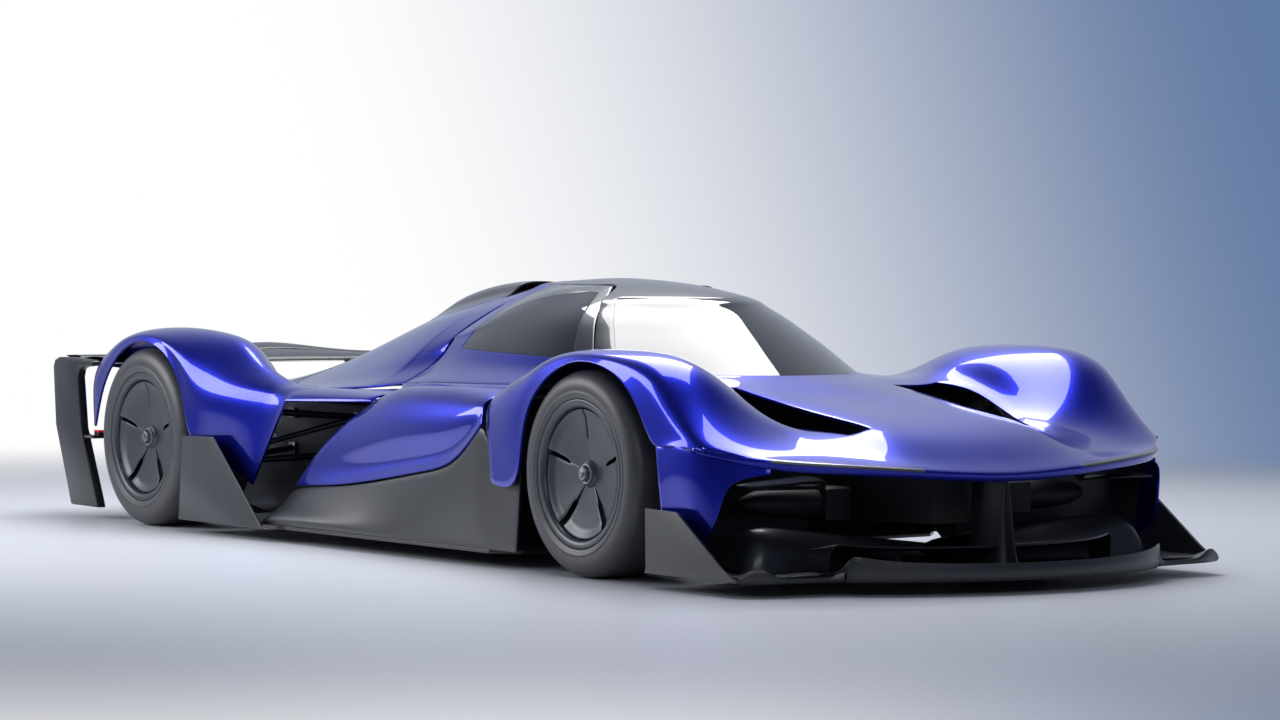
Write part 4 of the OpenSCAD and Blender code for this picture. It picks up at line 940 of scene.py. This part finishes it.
for end, axle, width in (("front", FRONT, 0.30), ("rear", REAR, 0.34)):
    for label, side in SIDES:
        face = WHEEL_FACE
        w = width - 0.016
        body = f"{end}_wheel_{label}"
        barrel = [(WHEEL_RIM - r, d) for r, d in (
            (0, 0), (0, 0.012), (0.014, 0.022), (0.022, 0.05), (0.022, w - 0.05), (0.014, w - 0.022),
            (0, w - 0.012), (0, w), (0.01, w), (0.026, w - 0.028), (0.03, w - 0.06), (0.03, 0.06),
            (0.028, 0.014), (0.022, 0.004), (0.01, 0))]
        hub = [(0.033, 0.06), (0.05, 0.052), (0.062, 0.05), (0.07, 0.056), (0.07, 0.112), (0.033, 0.112)]
        cone = [(0.001, 0.032), (0.028, 0.032), (0.036, 0.036), (0.047, 0.0455), (0.047, 0.052),
                (0.001, 0.052)]
        ring = [(0.2165, 0.03), (0.2185, 0.022), (0.2185, 0.06), (0.2165, 0.06)]
        wheel = joined(f"wheel_{end}_{label}_forged", [
            turned("barrel", eased(barrel, 0.004), axle, side, face),
            turned("hub", eased(hub, 0.003), axle, side, face, 48),
            turned("cone", eased(cone, 0.004), axle, side, face, 48),
            turned("ring", ring, axle, side, face),
            *blades(axle, side, face),
        ])
        finished(wheel, anodised, body, 30)
        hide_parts(f"wheel_{end}_{label}")

        hexagon = [(0.001, 0.008), (0.011, 0.008), (0.013, 0.013), (0.022, 0.013), (0.026, 0.018),
                   (0.026, 0.03), (0.031, 0.033), (0.001, 0.036)]
        collar = [(0.027, 0.028), (0.034, 0.028), (0.036, 0.036), (0.027, 0.036)]
        nut = joined(f"wheel_nut_{end}_{label}", [
            turned("nut", eased(hexagon, 0.002), axle, side, face, 6),
            turned("collar", eased(collar, 0.002), axle, side, face, 48),
        ])
        finished(nut, steel, body, 30)

        rotor = [(0.075, 0.118), (0.187, 0.118), (0.187, 0.127), (0.18, 0.128), (0.18, 0.132),
                 (0.187, 0.133), (0.187, 0.142), (0.075, 0.142)]
        bell = [(0.04, 0.112), (0.078, 0.112), (0.078, 0.142), (0.07, 0.142), (0.066, 0.118), (0.04, 0.118)]
        disc = joined(f"brake_disc_{end}_{label}", [
            turned("rotor", eased(rotor, 0.001), axle, side, face),
            turned("bell", eased(bell, 0.002), axle, side, face, 48),
        ])
        finished(disc, steel, body, 30)

        # Tyre: wide slick of reinforced rubber with rounded shoulders and a rim guard rib, moulded in
        # one piece and seated on the rim by its beads.
        half = [(0.2476, 0.017), (0.2485, 0.010), (0.253, 0.006), (0.262, 0.0035), (0.267, 0.0015),
                (0.2705, 0.0015), (0.274, 0.0035), (0.285, 0.002), (0.300, 0.0035), (0.316, 0.0095),
                (0.329, 0.019), (0.338, 0.0325), (0.3425, 0.05), (0.3446, 0.08), (0.345, 0.11)]
        tread = fair([(r, d, 0) for r, d in half], 3)[:, :2]
        outline = [*tread, *[(r, width - d) for r, d in tread[::-1]]]
        tyre = turned(f"tyre_{end}_{label}_slick", outline, axle, side, TYRE_FACE, 128)
        finished(tyre, rubber, body, 40)
        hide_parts(f"tyre_{end}_{label}")

# Seats: two carbon buckets moulded round the sides of the body and bolted to the tub floor, with
# foam pads under a woven cover glued into them.
SEAT_X = 242  # middle of a seat from the centre of the car, mm
SEAT_LINE = [(566, 226), (640, 222), (760, 196), (880, 176), (955, 200), (1050, 310), (1150, 452),
             (1230, 572), (1290, 672)]  # the seat from its front edge to the head, seen from the side
SEAT_ACROSS = [(-186, 84), (-182, 70), (-152, 20), (-90, 3), (0, 0), (90, 3), (152, 20), (182, 70), (186, 84)]


def seat_point(along, across, rise):
    """Point of a seat, rise above its surface, in millimetres from the middle of the seat."""
    line = np.array(SEAT_LINE, float)
    k = min(int(along), len(line) - 2)
    ahead = line[min(k + 1, len(line) - 1)] - line[max(k - 1, 0)] if along == k else line[k + 1] - line[k]
    ahead = ahead / np.linalg.norm(ahead)
    base = mixed(line[k], line[k + 1], along - k)
    return np.array((across, base[0] - ahead[1] * rise, base[1] + ahead[0] * rise))


seat_shell_rows = np.array([[seat_point(k, x, h) for x, h in SEAT_ACROSS] for k in range(len(SEAT_LINE))])
fabric = Finish("seat_fabric", Metallic=0.0, Sheen_Weight=0.25)
threads = weave(fabric, 0.0035)
fabric_tone = fabric.noise(12, 4)
fabric.give(
    Base_Color=fabric.blend(fabric_tone * 0.6 + threads * 0.25, (0.018, 0.019, 0.023), (0.05, 0.052, 0.06)),
    Roughness=fabric_tone * 0.1 + 0.8,
    Normal=fabric.bump(threads, 0.0004, 0.6),
)


SWELL = 0.008  # the most that a cover may move out, metres


def swollen(name, outline, thick):
    """Foam pad: a rounded slab over a grid of points, blown up a little inside its cover."""
    pad = laid(name, outline)
    settle(pad, ("SOLIDIFY", {"thickness": thick, "offset": 0}), broken(thick * 0.4, 4, 50))
    settle(pad, ("REMESH", {"mode": "VOXEL", "voxel_size": 0.006}))
    start = np.empty(len(pad.data.vertices) * 3, np.float32)
    pad.data.vertices.foreach_get("co", start)
    cloth = pad.modifiers.new("cover", "CLOTH")
    cloth.settings.use_pressure = True
    cloth.settings.uniform_pressure_force = 4
    cloth.settings.effector_weights.gravity = 0
    for step in range(1, 21):
        bpy.context.scene.frame_set(step)
    bpy.ops.object.select_all(action="DESELECT")
    pad.select_set(True)
    bpy.context.view_layer.objects.active = pad
    bpy.ops.object.modifier_apply(modifier=cloth.name)
    blown = np.empty_like(start)
    pad.data.vertices.foreach_get("co", blown)
    moved = (blown - start).reshape(-1, 3)
    far = np.linalg.norm(moved, axis=1, keepdims=True)
    moved *= np.minimum(1, SWELL / np.maximum(far, 1e-9))
    pad.data.vertices.foreach_set("co", (start.reshape(-1, 3) + moved).reshape(-1))
    pad.data.update()
    bpy.context.scene.frame_set(1)
    settle(pad, ("SUBSURF", {"levels": 1}))
    finished(pad, fabric, "root", 60)
    return pad


SHOULDER_STRAP = [(6.9, 32), (6.0, 40), (5.0, 44), (4.2, 52)]  # place along the seat, height above it
HIP_STRAP = [(2.6, 46), (3.1, 52), (3.6, 56), (4.0, 55)]
PADS = (("base_pad", 0.12, 3.0, 132, 120, 24), ("back_pad", 4.05, 6.6, 112, 132, 22),
        ("head_pad", 6.95, 7.85, 98, 84, 26))
for label, side in SIDES:
    middle = np.array((side * SEAT_X, 0, 0))
    shell_grid = surface(placed(seat_shell_rows + middle), 6, 4)
    panel(f"seat_shell_{label}", shell_grid[:, ::-1], [carbon, cabin], "root", thick=0.004, rim=0)
    # Seat pad, back pad and head pad, glued into the bucket
    for part, first, last, low_half, high_half, foam in PADS:
        rows = []
        for t in np.linspace(0, 1, 9):
            half = mixed(low_half, high_half, t) - 7 * math.sin(math.pi * t)
            rows.append([seat_point(mixed(first, last, t), half * u, 7 + foam / 2 + 9 * u * u) + middle
                         for u in np.linspace(-1, 1, 7)])
        pad = swollen(f"seat_{part}_{label}", placed(rows), foam / 1000)
        if label == "left" and part == "base_pad":
            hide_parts("seats")

    # Harness: flat woven straps over the shoulders and round the hips, with a turn buckle.
    straps = []
    for x0, x1, line in ((52, 16, SHOULDER_STRAP), (-52, -16, SHOULDER_STRAP), (150, 18, HIP_STRAP),
                         (-150, -18, HIP_STRAP)):
        rows = []
        for k, (t, rise) in enumerate(line):
            x = mixed(x0, x1, k / 3)
            rows.append([seat_point(t, x + u, rise + h) + middle for u, h in ((-21, 0), (0, 1.5), (21, 0))])
        straps.append(panel("strap", surface(placed(rows), 5, 2), [fabric], "root", thick=0.0022, rim=0))
    joined(f"harness_{label}", straps)
    buckle = seat_point(4.05, 0, 58) + middle
    bpy.ops.mesh.primitive_cylinder_add(vertices=32, radius=0.027, depth=0.016)
    disc = bpy.context.object
    disc.name = disc.data.name = f"harness_buckle_{label}"
    tilt = Matrix.Translation(Vector(placed([buckle])[0])) @ Matrix.Rotation(math.radians(42), 4, "X")
    disc.data.transform(tilt)
    disc.location = (0, 0, 0)
    settle(disc, broken(0.003, 3, 40))
    finished(disc, cabin, "root", 40)

# Dash: one moulded carbon cross beam bonded between the tub sides, with a display ahead of the driver
# whose glass is set in a slim box screwed to the beam.
edged("dash_beam", "dash", cabin, 0.008)
screen_face = Finish("display_glass", Metallic=0.0, Coat_Weight=1.0, Coat_Roughness=0.03,
                     Emission_Strength=0.35)
screen_x, _, screen_z = screen_face.axes()
bars = (screen_x * 420).math("SINE").above(0.75, 0.1) * (screen_z * 900).math("SINE").above(0.2, 0.1)
screen_face.give(
    Base_Color=screen_face.blend(bars, (0.008, 0.010, 0.014), (0.05, 0.09, 0.14)),
    Roughness=screen_face.noise(60, 2) * 0.05 + 0.12,
    Emission_Color=screen_face.blend(bars, (0.004, 0.006, 0.010), (0.10, 0.22, 0.36)),
)
display = []
for x, drop in ((150, 7), (154, 1), (160, 0), (320, 0), (326, 1), (330, 7)):
    display.append([(x, 545, 634 + drop * 0.5), (x, 541, 636 + drop * 0.5), (x, 520, 690 - drop),
                    (x, 512, 694 - drop), (x, 502, 690 - drop), (x, 500, 634)])
lofted("dash_display", placed(display), 1, screen_face, angle=30)

# Steering wheel: rim flattened above and below, with moulded grips round a carbon hub plate. It is
# locked on a short column that runs out of the dash.
HUB_X, HUB_Y, HUB_Z = 240, 626, 540  # middle of the rim, mm
LEAN = math.radians(20)


def wheel_point(radius, turn, depth):
    """Point round the steering wheel, flattened above and below the grips."""
    x, z = radius * math.cos(turn), max(-93, min(99, radius * math.sin(turn)))
    return np.array((HUB_X + x, HUB_Y + z * math.sin(LEAN) - depth, HUB_Z + z * math.cos(LEAN)))


rim_rows = []
for turn in np.linspace(0, math.tau, 49):
    thick = 12 + 4 * abs(math.cos(turn)) ** 3
    rim_rows.append([wheel_point(134 + thick * math.cos(a), turn, thick * math.sin(a))
                     for a in np.linspace(0, math.tau, 15)])
rim_ring = laid("rim_ring", placed(rim_rows))
welded(rim_ring, 0.0005)
close()
hub_rows = []
for x, half in ((110, 16), (126, 30), (190, 42), (240, 50), (290, 42), (354, 30), (370, 16)):
    front = [(x, HUB_Y - 8, HUB_Z + v * half) for v in (-1, -0.5, 0.5, 1)]
    hub_rows.append(front + [(x, HUB_Y - 24, z) for x, y, z in front[::-1]])
hub_plate = lofted("hub_plate", placed(hub_rows), 3, cabin, across=1, angle=40)
column = []
for y, r in ((523, 20), (530, 22), (590, 22), (604, 30), (612, 30)):
    column.append([(HUB_X + r * math.cos(a), y, HUB_Z + r * math.sin(a))
                   for a in np.linspace(0, math.tau, 20, endpoint=False)])
column = lofted("column", placed(column), 2, cabin, angle=40)
for part in (rim_ring, hub_plate, column):
    part.data.materials.clear()
wheel_rim = finished(joined("steering_wheel_rim", [rim_ring, hub_plate, column]), cabin, "root", 40)
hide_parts("steering_wheel")

# Floor, backdrop, lamps and camera: a round studio floor that thins out into the backdrop, which is white
# behind the tail and blue grey ahead of the nose. The floor's colour carries painted light: it is paler away
# from the camera and toward the left of the view, and darker in the foreground.
FLOOR_CLEAR, FLOOR_RADIUS = 4.2, 8.4  # where the floor starts to thin out, and where it ends
ground = Finish("studio_floor", Metallic=0.0)
gx, gy, _ = ground.axes()
toward = gx * 0.563 + gy * 0.826
beside = gx * 0.826 - gy * 0.563
# Painted light on the floor: its colour goes from dark blue grey near the camera to pale further off and
# toward the left, in place of the fall-off of the studio lamps.
painted_floor_light = toward.above(-5.5, 5.0) * 0.75 + (beside * -1).above(-1.5, 4.0) * 0.25
ground.give(
    Base_Color=ground.blend(painted_floor_light, (0.20, 0.225, 0.30), (0.60, 0.625, 0.68)),
    Roughness=ground.noise(40, 4) * 0.1 + 0.42,
)
reach = ground.node("ShaderNodeVectorMath", {"operation": "LENGTH"}, {0: ground.place}, 1)
clear = ground.nodes.new("ShaderNodeBsdfTransparent")
mixer = ground.nodes.new("ShaderNodeMixShader")
ground.feed(mixer.inputs[0], reach.above(FLOOR_CLEAR, 4.0))
ground.links.new(ground.shader.outputs[0], mixer.inputs[1])
ground.links.new(clear.outputs[0], mixer.inputs[2])
ground.links.new(mixer.outputs[0], ground.nodes["Material Output"].inputs[0])
bpy.ops.mesh.primitive_circle_add(vertices=64, radius=FLOOR_RADIUS, fill_type="NGON", location=(0, 0, 0))
floor = bpy.context.object
floor.name = floor.data.name = "studio_floor"
floor.data.materials.append(ground.material)

world = bpy.data.worlds.new("studio")
bpy.context.scene.world = world
world.use_nodes = True


class Backdrop(Finish):
    """The world behind the scene, by the direction that is looked in."""

    def __init__(self, tree):
        self.nodes, self.links = tree.nodes, tree.links
        self.place = Value(self, self.nodes.new("ShaderNodeTexCoord").outputs["Generated"])


sky = Backdrop(world.node_tree)
sx, sy, sz = sky.axes()
right = sx * 0.826 - sy * 0.563
fall = (right + sz * 0.35).above(-0.075, 0.235) * (1 - right.above(0.2, 0.35)) * (sx + sy).above(0.2, 0.6)
seen = sky.blend(fall, (1.0, 1.0, 1.0), (0.125, 0.20, 0.37))
plain = sky.nodes["Background"]
plain.inputs[0].default_value = (0.80, 0.86, 1.0, 1)
plain.inputs[1].default_value = 0.2
shown = sky.nodes.new("ShaderNodeBackground")
sky.feed(shown.inputs[0], seen)
glow = sky.nodes.new("ShaderNodeBackground")
ahead_of = (sx * 0.563 + sy * 0.826).above(0.1, 0.8) * sz.above(-0.25, 0.3)
sky.feed(glow.inputs[0], sky.blend(ahead_of, (0.06, 0.08, 0.14), (0.42, 0.46, 0.55)))
path = sky.nodes.new("ShaderNodeLightPath")
through = Value(sky, path.outputs["Is Transmission Ray"])
direct = Value(sky, path.outputs["Is Camera Ray"]).math("MAXIMUM", through)
first = sky.nodes.new("ShaderNodeMixShader")
sky.feed(first.inputs[0], direct)
sky.links.new(plain.outputs[0], first.inputs[1])
sky.links.new(shown.outputs[0], first.inputs[2])
second = sky.nodes.new("ShaderNodeMixShader")
sky.feed(second.inputs[0], Value(sky, path.outputs["Is Glossy Ray"]))
sky.links.new(first.outputs[0], second.inputs[1])
sky.links.new(glow.outputs[0], second.inputs[2])
sky.links.new(second.outputs[0], sky.nodes["World Output"].inputs[0])


def lamp_panel(name, place, aim, width, height, power):
    bpy.ops.object.light_add(type="AREA", location=place)
    light = bpy.context.object
    light.name = name
    light.data.shape = "RECTANGLE"
    light.data.size, light.data.size_y = width, height
    light.data.energy = power
    light.rotation_euler = (Vector(aim) - Vector(place)).to_track_quat("-Z", "Y").to_euler()


lamp_panel("top_soft", (0.6, 0.8, 5.0), (0, 0, 0), 3.2, 6.0, 400)
lamp_panel("back_left_soft", (-5.5, 4.5, 3.0), (0, 0.5, 0.4), 5, 2.4, 230)
lamp_panel("front_strip", (-2.5, -7.5, 3.2), (0, -1, 0.4), 5, 1.6, 60)

bpy.ops.object.camera_add(location=(-8.9422, -12.0659 + FRONT, 1.1257))
camera = bpy.context.object
camera.name = "camera"
yaw, pitch, roll = 0.598, -0.0279, -0.0048
ahead = Vector((math.sin(yaw) * math.cos(pitch), math.cos(yaw) * math.cos(pitch), math.sin(pitch)))
turned_to = ahead.to_track_quat("-Z", "Y").to_matrix() @ Matrix.Rotation(-roll, 3, "Z")
camera.rotation_euler = turned_to.to_euler()
FOCAL, PICTURE, SENSOR = 4394.76, 1280, 36  # focal length and width in picture points, sensor in mm
camera.data.sensor_width = SENSOR
camera.data.lens = FOCAL * SENSOR / PICTURE
camera.data.clip_end = 200
bpy.context.scene.camera = camera
bpy.context.scene.view_settings.view_transform = "Standard"
